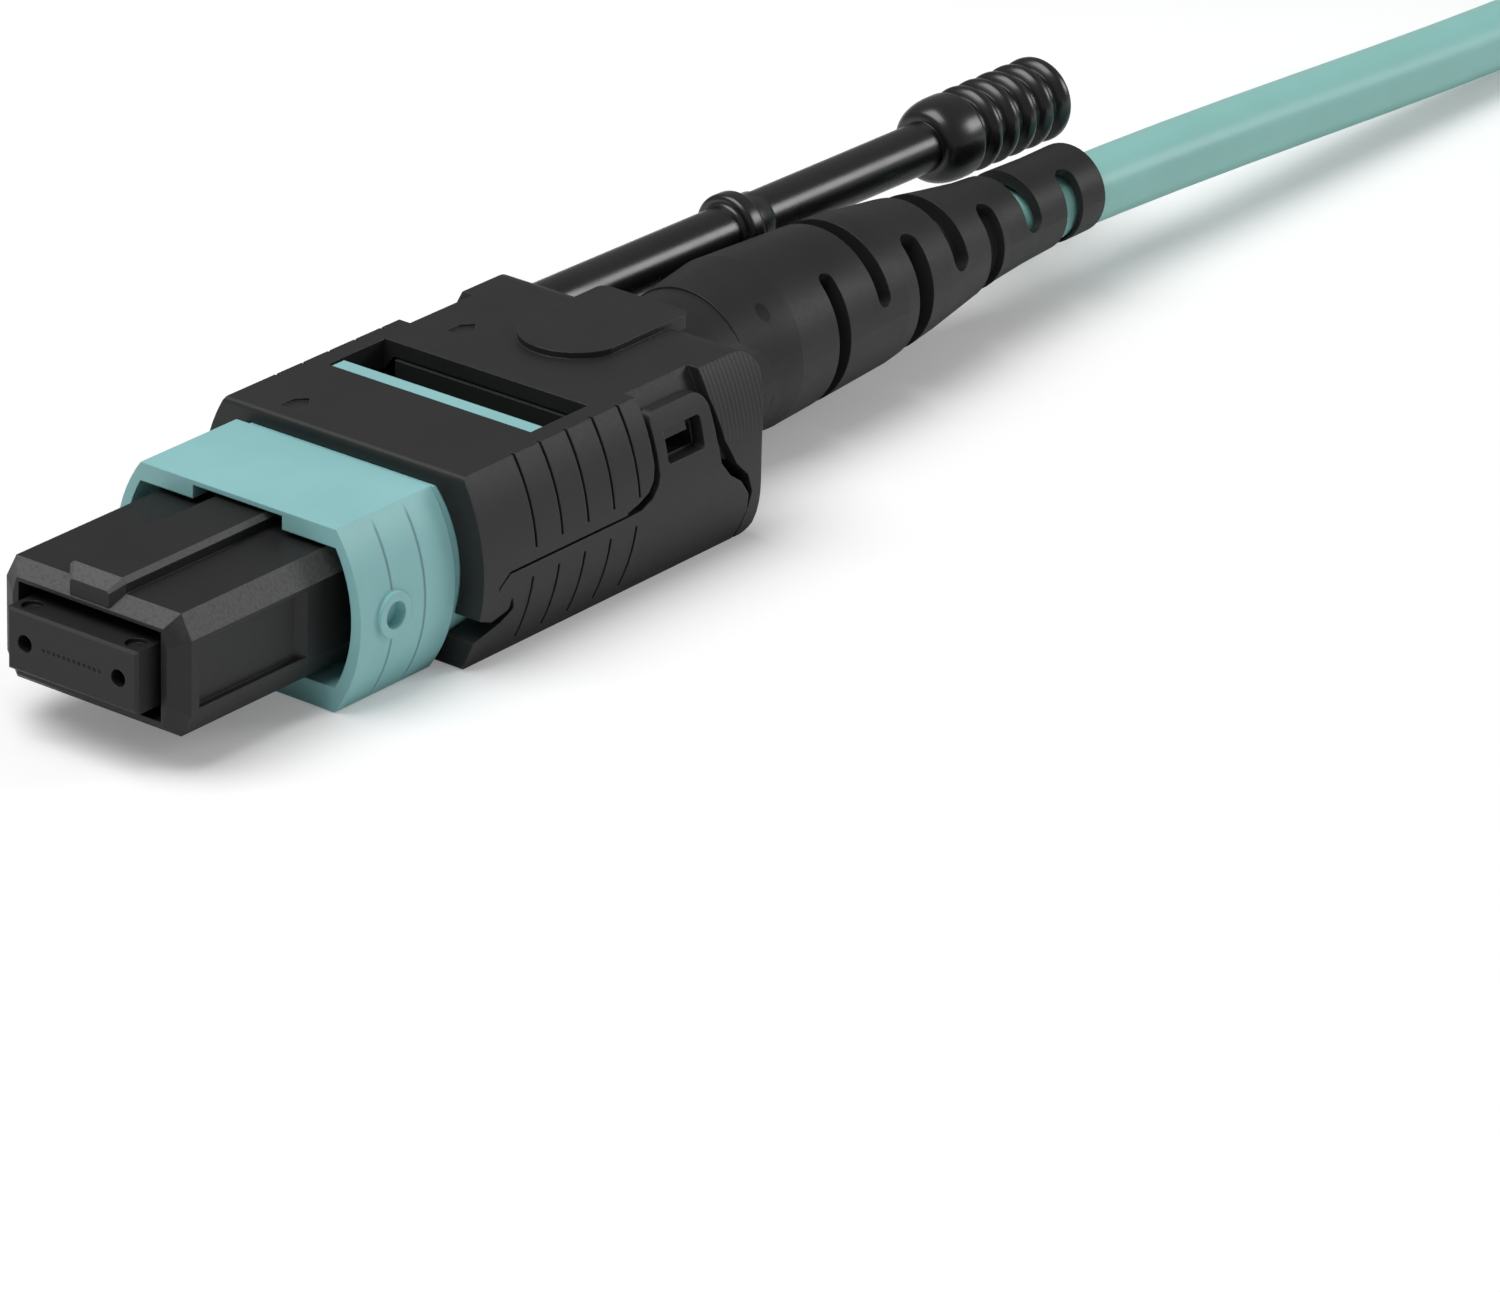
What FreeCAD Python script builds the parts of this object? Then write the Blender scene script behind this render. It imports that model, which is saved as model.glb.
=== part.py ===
# A short fibre patch lead with a twelve-fibre push-pull connector on each end.
#
# Every connector is built in its own frame: the ferrule's end face lies in the plane y = 0, the
# cable leaves towards +Y, the key is on top (+Z) and the fibres run along the Y axis.  A finished
# piece is then set down on the table by its Placement.  Lengths are millimetres, angles degrees.

import FreeCAD, Part

import math
import os

import Sketcher

Vector = FreeCAD.Vector

# ---------------------------------------------------------------- driving sizes

DRIVING_SIZES = {
    # how it lies on the table
    "overall_length": 66.15,
    "axis_height": 3.9,
    # multi-fibre ferrule
    "ferrule_width": 6.4,
    "ferrule_height": 2.5,
    "ferrule_length": 8.0,
    "ferrule_rim": 0.12,
    "collar_width": 7.2,
    "collar_height": 3.2,
    "collar_length": 2.0,
    "guide_pitch": 4.6,
    "guide_radius": 0.35,
    "fibre_pitch": 0.25,
    "fibre_radius": 0.0625,
    "fibre_clearance": 0.02,
    "pit_radius": 0.42,
    "pit_depth": 0.18,
    "pit_back": 0.72,
    "pit_side": 2.55,
    "ribbon_width": 3.1,
    "ribbon_thickness": 0.3,
    "ribbon_end": 29.0,
    "ribbon_clearance": 0.12,
    "ferrule_travel": 1.0,
    "guide_clearance": 0.06,
    # inner housing
    "plug_front": 1.0,
    "plug_width": 9.1,
    "plug_top": 2.6,
    "plug_bottom": 2.35,
    "plug_top_width": 8.1,
    "plug_edge_top": 1.62,
    "plug_edge_bottom": 1.42,
    "nose_length": 0.5,
    "nose_width": 7.6,
    "nose_top": 2.0,
    "nose_bottom": 1.95,
    "mouth_width": 7.0,
    "mouth_top": 1.85,
    "mouth_bottom": 1.76,
    "mouth_depth": 3.6,
    "key_width": 2.76,
    "key_top": 3.2,
    "key_nose_width": 1.9,
    "key_nose_top": 2.72,
    "key_nose_bottom": 2.08,
    "key_bevel": 0.2,
    "latch_front": 1.75,
    "latch_back": 8.5,
    "latch_ramp": 0.9,
    "latch_depth": 0.27,
    "latch_top": 1.45,
    "latch_bottom": 1.2,
    "guide_front": 13.0,
    "guide_back": 21.4,
    "slide_gap": 0.12,
    "chamber_clearance": 0.1,
    # sideways springs of the coupling sleeve
    "channel_front": 13.8,
    "channel_back": 20.6,
    "channel_floor": 4.2,
    "channel_height": 1.24,
    "side_spring_radius": 0.42,
    "side_spring_wire": 0.16,
    "side_spring_turns": 6.0,
    "side_spring_gap": 0.06,
    "ledge_length": 1.0,
    "stop_gap": 0.02,
    "sleeve_travel": 2.0,
    # ferrule backing pieces
    "clamp_length": 1.6,
    "clamp_side_inset": 0.2,
    "clamp_top_inset": 0.1,
    "rubber_width": 3.7,
    "rubber_height": 1.3,
    "rubber_length": 2.8,
    "spring_half_width": 2.45,
    "spring_half_height": 1.3,
    "spring_wire": 0.36,
    "spring_turns": 5.0,
    "seat_gap": 0.02,
    # spring push
    "push_front": 17.6,
    "push_flange_back": 23.6,
    "arm_thickness": 0.5,
    "arm_height": 1.0,
    "arm_reach": 2.0,
    "barb_length": 1.0,
    "barb_step": 0.32,
    "barrel_radius": 2.3,
    "barrel_bore": 1.75,
    "barrel_end": 30.2,
    "knurl_depth": 0.14,
    "knurl_count": 2.0,
    "flange_top": 2.23,
    "ridge_front": 23.5,
    "ridge_back": 23.66,
    "ridge_top": 3.44,
    "ridge_width": 8.6,
    # crimp, yarn, boot
    "yarn_thickness": 0.16,
    "crimp_gap": 0.02,
    "crimp_wall": 0.26,
    "crimp_front": 24.4,
    "crimp_shoulder": 31.0,
    "crimp_end": 38.0,
    "boot_front": 24.9,
    "boot_radius": 3.3,
    "boot_straight": 33.4,
    "boot_lip": 0.08,
    "neck_length": 6.0,
    "neck_turn": 4.0,
    "neck_radius": 3.6,
    "body_end_radius": 3.33,
    "waist_reach": 8.4,
    "shoulder_reach": 5.0,
    "boot_waist_radius": 2.21,
    "boot_waist": 55.0,
    "boot_end_radius": 1.95,
    "boot_rise": 0.42,
    "boot_end": 62.15,
    "boot_bore": 1.7,
    "tail_bore": 1.68,
    "tail_bore_rise": 0.2,
    "boot_gap": 0.1,
    "slot_floor": 2.1,
    "slot_core": 1.5,
    "slot_width": 0.82,
    "slot_wide": 1.12,
    "slot_first": 42.1,
    "slot_step": 2.95,
    "slot_span": 190.0,
    "slot_top_turn": 21.0,
    "slot_side_turn": 216.0,
    # coupling sleeve
    "sleeve_front": 9.27,
    "sleeve_length": 12.2,
    "sleeve_top": 3.6,
    "sleeve_bottom": 3.85,
    "sleeve_flat": 9.64,
    "sleeve_width": 12.12,
    "sleeve_bore_top": 2.85,
    "sleeve_bore_bottom": 2.85,
    "sleeve_bore_flat": 9.64,
    "sleeve_bore_width": 11.2,
    "key_slot_width": 4.4,
    "key_slot_top": 3.4,
    "key_slot_gap": 0.15,
    "grip_length": 5.5,
    "waist_step": 0.25,
    "waist_bottom": 3.3,
    "rib_front": 20.42,
    "rib_back": 21.22,
    "rib_top": 3.97,
    "rib_width": 9.9,
    "pin_ring_back": 1.9,
    "pin_ring_radius": 0.92,
    "pin_ring_height": 0.14,
    "pin_hole_radius": 0.55,
    # clip-on shell
    "shell_front": 15.3,
    "shell_back": 32.9,
    "shell_top": 4.05,
    "shell_flat": 11.8,
    "shell_width": 14.04,
    "shell_gap": 0.05,
    "cavity_back": 26.2,
    "boot_opening": 0.36,
    "window_gap": 0.06,
    "window_back": 23.8,
    "window_width": 10.1,
    "part_line": 0.05,
    "part_gap": 0.12,
    "loop_inset": 0.55,
    "loop_step": 0.35,
    "loop_front": 25.95,
    "loop_back": 29.35,
    "loop_top": 3.38,
    "loop_gap": 0.3,
    "loop_seat_gap": 0.05,
    "loop_foot": 31.93,
    "hook_nose": 16.24,
    "hook_notch": 17.38,
    "hook_depth": 1.2,
    "toe_depth": 1.95,
    "eye_front": 26.5,
    "eye_back": 28.75,
    "eye_bottom": 1.24,
    "eye_top": 2.6,
    "eye_depth": 1.6,
    "catch_back": 27.95,
    "catch_bottom": 2.2,
    "catch_height": 0.44,
    "groove_width": 0.14,
    "groove_depth": 0.2,
    "groove_count": 5.0,
    "groove_pitch": 1.56,
    "groove_first": 18.27,
    "pad_centre": 0.35,
    "pad_width": 4.4,
    "pad_front": 26.15,
    "pad_overhang": 0.35,
    "pad_height": 0.27,
    "arrow_depth": 0.1,
    "arrow_across": -3.4,
    "arrow_front": 16.1,
    "arrow_back": 26.0,
    "arrow_size": 0.8,
    "back_round": 1.2,
    # pull rod
    "rod_side": 4.7,
    "rod_lift": 2.565,
    "rod_droop": 0.92,
    "rod_radius": 1.09,
    "rod_root": 1.6,
    "rod_spigot": 0.8,
    "ring_front": 44.65,
    "ring_length": 0.92,
    "ring_radius": 1.52,
    "ring_collar": 1.17,
    "ring_collar_length": 1.1,
    "knob_length": 8.15,
    "knob_radius": 1.84,
    "knob_nose": 1.5,
    "knob_groove_lead": 2.46,
    "knob_groove_pitch": 1.19,
    "knob_groove_depth": 0.34,
    "knob_groove_half": 0.3,
    "knob_bevel": 0.2,
    # cable
    "cable_radius": 1.5,
    "hank_fold": 9.3,
    "hank_straight": 38.6,
    "hank_front": 119.0,
    "hank_layers": 6.0,
    "hank_lift": 0.3,
    "hank_lead": 6.0,
    "lead_lift": 0.02,
    "far_boot_end": 228.0,
}

FIBRES = 12
document = FreeCAD.newDocument("fibre_patch_lead")
sheet = document.addObject("Spreadsheet::Sheet", "Sizes")


class Size:
    """A length that knows its value and the sheet formula it comes from."""

    def __init__(self, value, text):
        self.value = float(value)
        self.text = text

    def __add__(self, other):
        other = size(other)
        return Size(self.value + other.value, f"({self.text} + {other.text})")

    def __sub__(self, other):
        other = size(other)
        return Size(self.value - other.value, f"({self.text} - {other.text})")

    def __mul__(self, other):
        other = size(other)
        return Size(self.value * other.value, f"({self.text} * {other.text})")

    def __truediv__(self, other):
        other = size(other)
        return Size(self.value / other.value, f"({self.text} / {other.text})")

    def __neg__(self):
        return Size(-self.value, f"(-1 * {self.text})")

    def __radd__(self, other):
        return size(other) + self

    def __rsub__(self, other):
        return size(other) - self

    def __rmul__(self, other):
        return size(other) * self


def size(number):
    """Turn a plain number into a Size; leave a Size as it is."""
    if isinstance(number, Size):
        return number
    return Size(number, repr(float(number)))


class Sheet:
    """The driving sizes by name, each bound to its own cell."""

    def __getattr__(self, name):
        return Size(DRIVING_SIZES[name], f"Sizes.{name}")


for row, (alias, number) in enumerate(DRIVING_SIZES.items(), start=1):
    sheet.set(f"A{row}", alias.replace("_", " "))
    sheet.set(f"B{row}", str(number))
    sheet.setAlias(f"B{row}", alias)
document.recompute()
s = Sheet()

# ---------------------------------------------------------------- drawing helpers

SIDES = {"left": -1, "right": 1}
FACING = {
    "plan": FreeCAD.Rotation(),
    "front": FreeCAD.Rotation(Vector(1, 0, 0), 90),
    "side": FreeCAD.Rotation(Vector(1, 1, 1), 120),
}
ALONG_Y = FreeCAD.Rotation(Vector(1, 0, 0), -90)
ALONG_X = FreeCAD.Rotation(Vector(0, 1, 0), 90)
STEPS_PER_TURN = 9
FORWARD = FreeCAD.Rotation(Vector(1, 0, 0), 90)


def bind(thing, **formulas):
    """Bind properties to sheet formulas; two underscores in a name stand for a dot."""
    for name, formula in formulas.items():
        thing.setExpression(name.replace("__", "."), size(formula).text)


def corner(across, up, rounding=None, bulge=None):
    """One corner of an outline: rounded, or followed by an arc that bulges outwards."""
    return size(across), size(up), rounding, bulge


def draw(sketch, corners):
    """Draw a closed anticlockwise outline whose corners stay bound to the sheet."""
    points = [Vector(across.value, up.value, 0) for across, up, _, _ in corners]
    count = len(points)
    for index, (_, _, _, bulge) in enumerate(corners):
        start, end = points[index], points[(index + 1) % count]
        if bulge is None:
            sketch.addGeometry(Part.LineSegment(start, end), False)
            continue
        chord = end - start
        inward = Vector(-chord.y, chord.x, 0).normalize()
        reach = math.sqrt(bulge.value**2 - (chord.Length / 2) ** 2)
        centre = (start + end) / 2 + inward * reach
        turn_from, turn_to = (math.atan2(p.y - centre.y, p.x - centre.x) for p in (start, end))
        circle = Part.Circle(centre, Vector(0, 0, 1), bulge.value)
        sketch.addGeometry(Part.ArcOfCircle(circle, turn_from, turn_to), False)
    for index in range(count):
        sketch.addConstraint(Sketcher.Constraint("Coincident", index, 2, (index + 1) % count, 1))
    formulas = {}
    for index, (across, up, _, bulge) in enumerate(corners):
        for letter, kind, place in (("x", "DistanceX", across), ("y", "DistanceY", up)):
            rule = Sketcher.Constraint(kind, -1, 1, index, 1, place.value)
            sketch.renameConstraint(sketch.addConstraint(rule), f"{letter}{index}")
            formulas[f"{letter}{index}"] = place
        if bulge is not None:
            rule = Sketcher.Constraint("Radius", index, bulge.value)
            sketch.renameConstraint(sketch.addConstraint(rule), f"bulge{index}")
            formulas[f"bulge{index}"] = bulge
    for index, (_, _, rounding, _) in enumerate(corners):
        if rounding is None:
            continue
        rounding = size(rounding)
        arc = sketch.GeometryCount
        sketch.fillet(index, 1, rounding.value, True, True)
        rule = Sketcher.Constraint("Radius", arc, rounding.value)
        sketch.renameConstraint(sketch.addConstraint(rule), f"round{index}")
        formulas[f"round{index}"] = rounding
    for name, formula in formulas.items():
        sketch.setExpression(f"Constraints.{name}", formula.text)


def box(name, x, y, z):
    """A block between two values on each axis."""
    block = document.addObject("Part::Box", name)
    bind(block, Length=x[1] - x[0], Width=y[1] - y[0], Height=z[1] - z[0])
    bind(block, Placement__Base__x=x[0], Placement__Base__y=y[0], Placement__Base__z=z[0])
    return block


def round_bar(name, centre, length, radius, turn=ALONG_Y, angle=360):
    """A cylinder that starts at centre and runs along the turned axis."""
    bar = document.addObject("Part::Cylinder", name)
    bar.Placement = FreeCAD.Placement(Vector(), turn)
    bind(bar, Radius=radius, Height=length, Angle=angle)
    bind(bar, Placement__Base__x=centre[0], Placement__Base__y=centre[1], Placement__Base__z=centre[2])
    return bar


def fine_bar(name, centre, length, radius):
    """A very thin bar along Y, eight-sided because its roundness can't be seen."""
    bar = document.addObject("Part::Prism", name)
    bar.Polygon = 8
    bar.Placement = FreeCAD.Placement(Vector(), ALONG_Y)
    bind(bar, Circumradius=radius, Height=length)
    bind(bar, Placement__Base__x=centre[0], Placement__Base__y=centre[1], Placement__Base__z=centre[2])
    return bar


def outline(name, facing, corners, level=0):
    """A free sketch that faces up, forwards or sideways, at a level along its normal."""
    sketch = document.addObject("Sketcher::SketchObject", name)
    draw(sketch, corners)
    sketch.Placement = FreeCAD.Placement(Vector(), FACING[facing])
    axis = {"plan": "z", "front": "y", "side": "x"}[facing]
    bind(sketch, **{f"Placement__Base__{axis}": level})
    return sketch


def prism(name, facing, corners, start, end):
    """An outline pushed from start to end along X, Y or Z."""
    push = document.addObject("Part::Extrusion", name)
    push.Base = outline(f"{name}_outline", facing, corners, start)
    push.DirMode = "Custom"
    push.Dir = {"plan": Vector(0, 0, 1), "front": Vector(0, 1, 0), "side": Vector(1, 0, 0)}[facing]
    push.Solid = True
    bind(push, LengthFwd=end - start)
    return push


def loft(name, *outlines):
    """A ruled solid from one outline to the next."""
    skin = document.addObject("Part::Loft", name)
    skin.Sections = list(outlines)
    skin.Solid = True
    skin.Ruled = True
    return skin


def fused(name, *shapes):
    """All the shapes as one."""
    union = document.addObject("Part::MultiFuse", name)
    union.Shapes = list(shapes)
    union.Refine = True
    return union


def cut(name, base, *tools):
    """The base without the tools."""
    result = document.addObject("Part::Cut", name)
    result.Base = base
    result.Tool = tools[0] if len(tools) == 1 else fused(f"{name}_tools", *tools)
    result.Refine = True
    return result


def common(name, first, second):
    """What two shapes share."""
    result = document.addObject("Part::Common", name)
    result.Base = first
    result.Tool = second
    result.Refine = True
    return result


def turned(name, corners):
    """A lathe part about the Y axis; corners are (radius, place along the axis)."""
    body = document.addObject("PartDesign::Body", name)
    plane = [datum for datum in body.Origin.OriginFeatures if datum.Role == "XY_Plane"][0]
    sketch = body.newObject("Sketcher::SketchObject", f"{name}_profile")
    sketch.AttachmentSupport = (plane, [""])
    sketch.MapMode = "FlatFace"
    draw(sketch, corners)
    lathe = body.newObject("PartDesign::Revolution", f"{name}_turning")
    lathe.Profile = sketch
    lathe.ReferenceAxis = (sketch, ["V_Axis"])
    lathe.Angle = 360
    body.Tip = lathe
    return body


def lens(half_flat, half_width, top, bottom):
    """The rounded section that sleeve and shell share: flat above and below, bowed sides."""
    half_height = (top + bottom) / 2
    bow = half_width - half_flat
    radius = (half_height * half_height + bow * bow) / (2 * bow)
    return [
        corner(-half_flat, -bottom),
        corner(half_flat, -bottom, bulge=radius),
        corner(half_flat, top),
        corner(-half_flat, top, bulge=radius),
    ]


def lens_inset(inset, top_inset, bottom_inset, half_flat, half_width, top, bottom):
    """The same section, smaller all round."""
    return lens(half_flat - inset, half_width - inset, top - top_inset, bottom - bottom_inset)


def symmetric(half):
    """From minus half to plus half."""
    return -size(half), size(half)


def sharp(corners, detailed):
    """The outline as it is, or with its small roundings left out."""
    if detailed:
        return corners
    return [(across, up, None, bulge) for across, up, _, bulge in corners]


# ---------------------------------------------------------------- inner housing


def octagon(half, half_top, top, edge_top, edge_bottom, bottom):
    """The housing's section: a box with four bevelled long edges."""
    return [
        corner(-half_top, -bottom),
        corner(half_top, -bottom),
        corner(half, -edge_bottom),
        corner(half, edge_top),
        corner(half_top, top),
        corner(-half_top, top),
        corner(-half, edge_top),
        corner(-half, -edge_bottom),
    ]


def key_section(half, base, top, bevel):
    """The key on top of the housing, with bevelled upper edges."""
    return [
        corner(-half, base),
        corner(half, base),
        corner(half, top - bevel),
        corner(half - bevel, top),
        corner(-half + bevel, top),
        corner(-half, top - bevel),
    ]


def inner_housing(mark):
    """The body that plugs in: nose, key, ferrule chamber, spring channels."""
    name = f"{mark}housing"
    half = s.plug_width / 2
    bevel_end = s.plug_front + s.nose_length
    full = octagon(half, s.plug_top_width / 2, s.plug_top, s.plug_edge_top, s.plug_edge_bottom,
                   s.plug_bottom)
    taper = half - s.nose_width / 2
    small = octagon(s.nose_width / 2, s.nose_width / 2 - s.key_bevel, s.nose_top,
                    s.plug_edge_top - taper / 2, s.plug_edge_bottom - taper / 2, s.nose_bottom)
    nose = loft(f"{name}_nose", outline(f"{name}_nose_front", "front", small, s.plug_front),
                outline(f"{name}_nose_back", "front", full, bevel_end))
    shank = prism(f"{name}_shank", "front", full, bevel_end, s.guide_front)
    guide = prism(f"{name}_guide", "front", guide_section(), s.guide_front, s.guide_back)
    key_full = key_section(s.key_width / 2, s.nose_top, s.key_top, s.key_bevel)
    key_small = key_section(s.key_nose_width / 2, s.key_nose_bottom, s.key_nose_top, s.key_bevel / 2)
    key_nose = loft(f"{name}_key_nose",
                    outline(f"{name}_key_front", "front", key_small, s.plug_front),
                    outline(f"{name}_key_back", "front", key_full, bevel_end))
    key = prism(f"{name}_key", "front", key_full, bevel_end, s.guide_front)
    solid = fused(f"{name}_solid", nose, shank, guide, key_nose, key)

    neck = s.plug_front + s.mouth_depth
    wall = s.ferrule_length - s.collar_length - s.seat_gap
    neck_half = s.ferrule_width / 2 + s.guide_clearance
    neck_up = s.ferrule_height / 2 + s.guide_clearance
    room_half = s.collar_width / 2 + s.chamber_clearance
    room_up = s.collar_height / 2 + s.chamber_clearance
    tools = [
        box(f"{name}_mouth", symmetric(s.mouth_width / 2), (s.plug_front - 1, neck),
            (-s.mouth_bottom, s.mouth_top)),
        box(f"{name}_neck", symmetric(neck_half), (neck - 1, wall + 1), symmetric(neck_up)),
        box(f"{name}_room", symmetric(room_half), (wall, s.guide_back + 1), symmetric(room_up)),
    ]
    for side, sign in SIDES.items():
        floor = half - s.latch_depth
        recess = [
            corner(sign * floor, s.latch_front + s.latch_ramp / 3),
            corner(sign * (half + 1), s.latch_front - s.latch_ramp / 3),
            corner(sign * (half + 1), s.latch_back + s.latch_ramp),
            corner(sign * floor, s.latch_back - s.latch_ramp),
        ]
        if sign < 0:
            recess.reverse()
        tools.append(prism(f"{name}_latch_{side}", "plan", recess, -s.latch_bottom, s.latch_top))
        tools.append(box(f"{name}_channel_{side}", outward(sign, s.channel_floor, 7),
                         (s.channel_front, s.channel_back), symmetric(s.channel_height / 2)))
        tools.append(box(f"{name}_barb_window_{side}", outward(sign, room_half - 0.2, 5),
                         (s.push_front - s.arm_reach - s.seat_gap, s.push_front - 0.8),
                         symmetric(s.channel_height / 2)))
    return cut(f"{name}_cut", solid, *tools)


def guide_section():
    """The rounded section of the housing that the coupling sleeve slides on."""
    return lens_inset(s.slide_gap, s.slide_gap, s.slide_gap, s.sleeve_bore_flat / 2,
                      s.sleeve_bore_width / 2, s.sleeve_bore_top, s.sleeve_bore_bottom)


def outward(sign, near, far):
    """A span from near to far on the left (sign -1) or on the right (sign 1)."""
    near, far = size(near), size(far)
    return (near, far) if sign > 0 else (-far, -near)


# ---------------------------------------------------------------- ferrule and what moves with it


def mt_ferrule(mark, fibres):
    """The rectangular ferrule with two guide-pin holes and a row of fibre holes."""
    name = f"{mark}ferrule"
    half = s.ferrule_width / 2
    up = s.ferrule_height / 2
    shoulder = s.ferrule_length - s.collar_length
    rim = loft(f"{name}_rim",
               outline(f"{name}_face", "front", block_section(half - s.ferrule_rim, up - s.ferrule_rim)),
               outline(f"{name}_rim_back", "front", block_section(half, up), s.ferrule_rim))
    body = box(f"{name}_body", symmetric(half), (s.ferrule_rim, shoulder), symmetric(up))
    collar = box(f"{name}_collar", symmetric(s.collar_width / 2), (shoulder, s.ferrule_length),
                 symmetric(s.collar_height / 2))
    solid = fused(f"{name}_solid", rim, body, collar)
    slot_half = s.ribbon_width / 2 + s.ribbon_clearance
    slot_up = s.ribbon_thickness / 2 + s.ribbon_clearance
    tools = [box(f"{name}_ribbon_slot", symmetric(slot_half), (shoulder, s.ferrule_length + 1),
                 symmetric(slot_up))]
    for side, sign in SIDES.items():
        tools.append(round_bar(f"{name}_guide_{side}", (sign * s.guide_pitch / 2, -1, 0),
                               s.ferrule_length + 2, s.guide_radius))
        tools.append(round_bar(f"{name}_pit_{side}", (sign * s.pit_side, s.pit_back, up - s.pit_depth),
                               1, s.pit_radius, FreeCAD.Rotation()))
    for number in range(fibres):
        across = (number - (fibres - 1) / 2) * s.fibre_pitch
        tools.append(fine_bar(f"{name}_hole_{number}", (across, -1, 0), shoulder + 2,
                               s.fibre_radius + s.fibre_clearance))
    return cut(f"{name}_cut", solid, *tools)


def block_section(half, up):
    """A plain rectangle about the axis."""
    return [corner(-half, -up), corner(half, -up), corner(half, up), corner(-half, up)]


def fibre_ribbon(mark, fibres):
    """The ribbon whose bare fibres run forward through the ferrule to its face."""
    name = f"{mark}ribbon"
    start = s.ferrule_length - s.collar_length + s.ribbon_clearance
    shapes = [box(f"{name}_flat", symmetric(s.ribbon_width / 2), (start, s.ribbon_end),
                  symmetric(s.ribbon_thickness / 2))]
    for number in range(fibres):
        across = (number - (fibres - 1) / 2) * s.fibre_pitch
        shapes.append(fine_bar(f"{name}_fibre_{number}", (across, 0, 0), start + 0.5,
                               s.fibre_radius))
    return fused(f"{name}_all", *shapes) if fibres else shapes[0]


def ferrule_boot(mark):
    """The soft sleeve that guards the ribbon where it leaves the ferrule."""
    name = f"{mark}rubber"
    body = box(f"{name}_body", symmetric(s.rubber_width / 2),
               (s.ferrule_length, s.ferrule_length + s.rubber_length), symmetric(s.rubber_height / 2))
    passage = box(f"{name}_passage", symmetric(s.ribbon_width / 2 + s.ribbon_clearance),
                  (s.ferrule_length - 1, s.ferrule_length + s.rubber_length + 1),
                  symmetric(s.ribbon_thickness / 2 + s.ribbon_clearance))
    return cut(f"{name}_cut", body, passage)


def pin_clamp(mark):
    """The plate behind the ferrule that the big spring pushes on."""
    name = f"{mark}clamp"
    back = s.ferrule_length + s.clamp_length
    plate = box(f"{name}_plate", symmetric(s.collar_width / 2 - s.clamp_side_inset),
                (s.ferrule_length, back), symmetric(s.collar_height / 2 - s.clamp_top_inset))
    window = box(f"{name}_window", symmetric(s.rubber_width / 2 + s.seat_gap),
                 (s.ferrule_length - 1, back + 1), symmetric(s.rubber_height / 2 + s.seat_gap))
    return cut(f"{name}_cut", plate, window)


# ---------------------------------------------------------------- springs


def coil_spring(name, centre, start, end, half_width, half_height, wire, turns):
    """A square-wire spring along Y between two planes, round or oval."""
    low, high = start + wire / 2, end - wire / 2
    steps = STEPS_PER_TURN * int(turns)
    sections = []
    for index in range(steps + 1):
        part_way = index / steps
        angle = 2 * math.pi * turns * part_way
        outward = Vector(math.cos(angle), 0, math.sin(angle))
        middle = Vector(centre[0] + half_width * outward.x, low + (high - low) * part_way,
                        centre[1] + half_height * outward.z)
        corners = [middle + outward * (wire / 2 * a) + Vector(0, wire / 2 * b, 0)
                   for a, b in ((-1, -1), (1, -1), (1, 1), (-1, 1), (-1, -1))]
        sections.append(Part.makePolygon(corners))
    spring = document.addObject("Part::Feature", name)
    spring.Shape = Part.makeLoft(sections, True, True)
    return spring


def ferrule_spring(mark):
    """The oval spring that presses the ferrule forward."""
    start = s.ferrule_length + s.clamp_length + s.seat_gap
    return coil_spring(f"{mark}big_spring", (0, 0), start.value, s.push_front.value,
                       s.spring_half_width.value, s.spring_half_height.value,
                       s.spring_wire.value, s.spring_turns.value)


def coupling_spring(mark, side):
    """One of the two small springs that hold the coupling sleeve forward."""
    centre = s.channel_floor + s.side_spring_radius + s.side_spring_wire / 2 + s.side_spring_gap
    start = s.channel_front + s.stop_gap + s.ledge_length
    return coil_spring(f"{mark}side_spring_{side}", (SIDES[side] * centre.value, 0), start.value,
                       s.channel_back.value, s.side_spring_radius.value, s.side_spring_radius.value,
                       s.side_spring_wire.value, s.side_spring_turns.value)


# ---------------------------------------------------------------- spring push and cable clamp


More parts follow.
